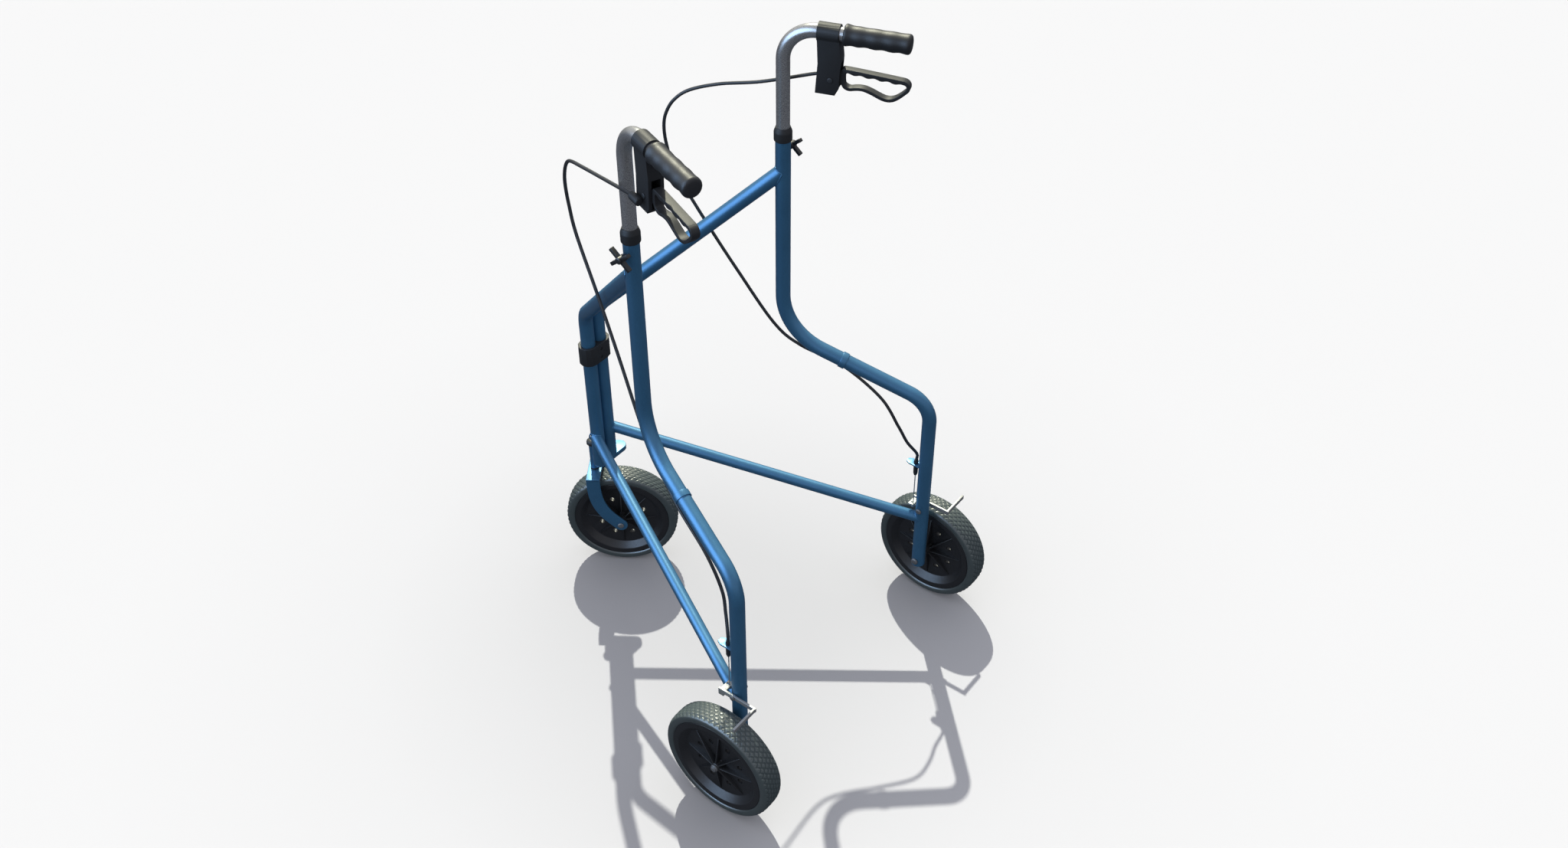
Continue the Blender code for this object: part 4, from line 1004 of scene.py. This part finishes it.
def head_plates():
    level = Matrix.Translation((0, 0, UPPER_PLATE_Z))
    outline = hull([(0, STEM_Y, 0.0060), (-0.0165, -0.2575, 0.0065), (-0.0315, -0.2282, 0.0107),
                    (-0.0140, -0.2187, 0.0012)])
    tongue = plate("head_plate_skin", [outline], UPPER_PLATE_T, level, 0.0006)
    bored(tongue, -POST_X, POST_Y, UPPER_PLATE_Z, TUBE_R + GAP)
    bored(tongue, 0, STEM_Y, UPPER_PLATE_Z, STEM_R + GAP)
    place_piece(tongue, "frame_paint", "head")

    level = Matrix.Translation((0, 0, BASE_PLATE_Z))
    posts = [(sign * POST_X, POST_Y, 0.0100) for sign in (1, -1)]
    base = plate("head_base_skin", [hull([(0, STEM_Y, 0.0030), *posts])], BASE_PLATE_T, level,
                 0.0005)
    bored(base, 0, STEM_Y, BASE_PLATE_Z, STEM_R + GAP)
    place_piece(base, "frame_paint", "head")


def stem():
    def ring(name, low, high, radius, look, ease):
        profile = [(radius, high - low), (radius, 0), (STEERER_R + GAP, 0),
                   (STEERER_R + GAP, high - low)]
        made = lathe(f"{name}_skin", profile, Matrix.Translation((0, STEM_Y, low)), 64, ring=True,
                     ease=ease)
        place_piece(made, look, "head")

    ring("stem_housing", STEM_BOTTOM, STEM_TOP, STEM_R, "frame_paint", 0.0008)
    ring("stem_bearing", CROWN_TOP + GAP, STEM_BOTTOM - GAP, STEM_R + 0.0004, "black_plastic",
         0.0003)
    profile = [(0, CAP_HEIGHT), (CAP_R * 0.5, CAP_HEIGHT - 0.0003), (CAP_R * 0.8, 0.0070),
               (CAP_R * 0.95, 0.0055), (CAP_R, 0.0040), (CAP_R, 0.0008), (CAP_R - 0.0008, 0),
               (0, 0)]
    cap = lathe("stem_cap_skin", profile, Matrix.Translation((0, STEM_Y, STEM_TOP + GAP)), 64)
    place_piece(cap, "black_plastic", "head")


def hinge_bolts():
    for name, sign in SIDES:
        side = Side(name, sign)
        start = side.at(POST_X, POST_Y, BASE_PLATE_Z - BASE_PLATE_T / 2 - GAP)
        made = bolt_piece(side.skin("hinge_bolt"), start, UP, 0.024, HINGE_BOLT_R, 0.0065, 0.0022)
        place_piece(made, "zinc", "head")


def fork_blade(name, sign):
    """One curved blade, a flat bar that follows the trail down to the axle."""
    points = [(0, CROWN_TOP), (0.0005, 0.165), (0.0030, 0.145), (0.0080, 0.129),
              (0.0165, 0.1135), (0.0270, 0.1010), (TRAIL, WHEEL_R)]
    line = [Vector(p[:2]) for p in smooth_path([(x, z, 0) for x, z in points], 40)]
    left, right = [], []
    for i, point in enumerate(line):
        run = line[min(i + 1, len(line) - 1)] - line[max(i - 1, 0)]
        across = Vector((-run.y, run.x)).normalized() * BLADE_HALF
        left.append((point + across)[:])
        right.append((point - across)[:])
    last = line[-1] - line[-2]
    heading = math.degrees(math.atan2(last.y, last.x))
    outline = right[:-1] + arc(line[-1], BLADE_HALF, heading - 90, heading + 90, 28) + left[-2::-1]
    place = axes_matrix(STEM + FORK_AXLE * sign * (BLADE_OUT - PLATE_T / 2), FORK_BACK, UP)
    return plate(name, [outline], PLATE_T, place, 0.0005)


def fork():
    crown_place = axes_matrix(STEM + UP * (CROWN_TOP - PLATE_T / 2), FORK_AXLE, FORK_BACK)
    crown = block("fork_skin", (2 * BLADE_OUT, 2 * BLADE_HALF, PLATE_T), crown_place, 0.0006, 3)
    blades = [fork_blade(f"blade_{sign}", sign) for sign in (1, -1)]
    steerer = rod("steerer", STEERER_R, STEM_TOP - CROWN_TOP,
                  Matrix.Translation(STEM + UP * (CROWN_TOP - 0.001)))
    joined(crown, *blades, steerer, sharp=35)
    place_piece(crown, "frame_paint", "fork")


def cap_nut(name, start, axis, body):
    profile = [(0, 0.0046), (0.0038, 0.0046), (0.0042, 0.0040), (0.0042, 0.0026),
               (0.0056, 0.0020), (0.0056, 0), (AXLE_R + GAP, 0), (AXLE_R + GAP, 0.0026),
               (0, 0.0026)]
    made = lathe(name, profile, along_matrix(start, axis), 40)
    place_piece(made, "zinc", body)


# ---------------------------------------------------------------- assembly
def build_side(name, sign):
    side = Side(name, sign)
    across = side.at(1, 0, 0)
    frame_tubes(side)
    collar(side)
    cable_clip(side)
    cable_stop(side)
    brake_cable(side)
    ferrule(side)
    brake_wire(side)
    brake_arm(side)
    handle_tube(side)
    grip(side)
    lever_housing(side)
    cable_barrel(side)
    brake_lever(side)
    lever_pin(side)
    height_knob(side)

    inner_face = LEG_X - TUBE_R - GAP
    outer_end = REAR_WHEEL_X + HUB_SHORT
    axle = bolt_piece(side.skin("axle_bolt"), side.at(inner_face, LEG_Y, WHEEL_R), across,
                      outer_end + 0.0024 - inner_face, AXLE_R, 0.0056, 0.0034)
    side.finish(axle, "zinc", "frame")
    cap_nut(side.skin("axle_nut"), side.at(outer_end + GAP, LEG_Y, WHEEL_R), across,
            f"{name}_frame")
    pivot = bolt_piece(side.skin("brake_pivot_bolt"), side.at(inner_face, LEG_Y, BRAKE_Z), across,
                       ARM_OUT + GAP - inner_face, BRAKE_BOLT_R, 0.0046, 0.0028, 0.0022, 0.0040)
    side.finish(pivot, "zinc", "frame")
    hub = side.at(REAR_WHEEL_X, LEG_Y, WHEEL_R)
    reach = (HUB_LONG, HUB_SHORT) if sign > 0 else (HUB_SHORT, HUB_LONG)
    wheel(f"{name}_wheel", f"{name}_wheel", hub, (1, 0, 0), *reach)


def build_front():
    post_clamp()
    head_plates()
    stem()
    hinge_bolts()
    fork()
    start = FRONT_HUB + FORK_AXLE * (BLADE_OUT + GAP)
    length = 2 * (BLADE_OUT + GAP)
    axle = bolt_piece("front_axle_bolt_skin", start, -FORK_AXLE, length + 0.0024, AXLE_R, 0.0050,
                      0.0026)
    place_piece(axle, "zinc", "fork")
    cap_nut("front_axle_nut_skin", start - FORK_AXLE * (length + GAP), -FORK_AXLE, "fork")
    wheel("front_wheel", "front_wheel", FRONT_HUB, FORK_AXLE, HUB_LONG, HUB_LONG)


def set_floor():
    shape = bmesh.new()
    bmesh.ops.create_grid(shape, x_segments=2, y_segments=2, size=12)
    floor = finished_mesh("floor", shape)
    made, nodes, links, shader = node_material("floor")
    spot = nodes.new("ShaderNodeTexCoord")
    far = nodes.new("ShaderNodeVectorMath")
    far.operation = "LENGTH"
    links.new(spot.outputs["Object"], far.inputs[0])
    # painted shade: the floor's colour darkens towards the walker, standing in for the soft shade
    # around it
    painted_shade_ramp = nodes.new("ShaderNodeValToRGB")
    links.new(far.outputs["Value"], painted_shade_ramp.inputs["Fac"])
    steps = ((0.05, 0.85), (0.15, 0.857), (0.25, 0.89), (0.35, 0.92), (0.45, 0.945),
             (0.55, 0.97), (0.70, 0.984), (0.95, 1.0))
    for i, (place, share) in enumerate(steps):
        stop = painted_shade_ramp.color_ramp.elements[i] if i < 2 else painted_shade_ramp.color_ramp.elements.new(place)
        stop.position = place
        stop.color = (0.664 * share, 0.670 * share, 0.691 * share, 1)
    links.new(painted_shade_ramp.outputs["Color"], shader.inputs["Base Color"])
    shader.inputs["Roughness"].default_value = 0.9
    shader.inputs["Specular IOR Level"].default_value = 0.0
    floor.data.materials.append(made)
    floor.visible_diffuse = floor.visible_glossy = False
    return floor


set_camera()
set_light(set_floor())
build_front()
for side_name, side_sign in SIDES:
    build_side(side_name, side_sign)
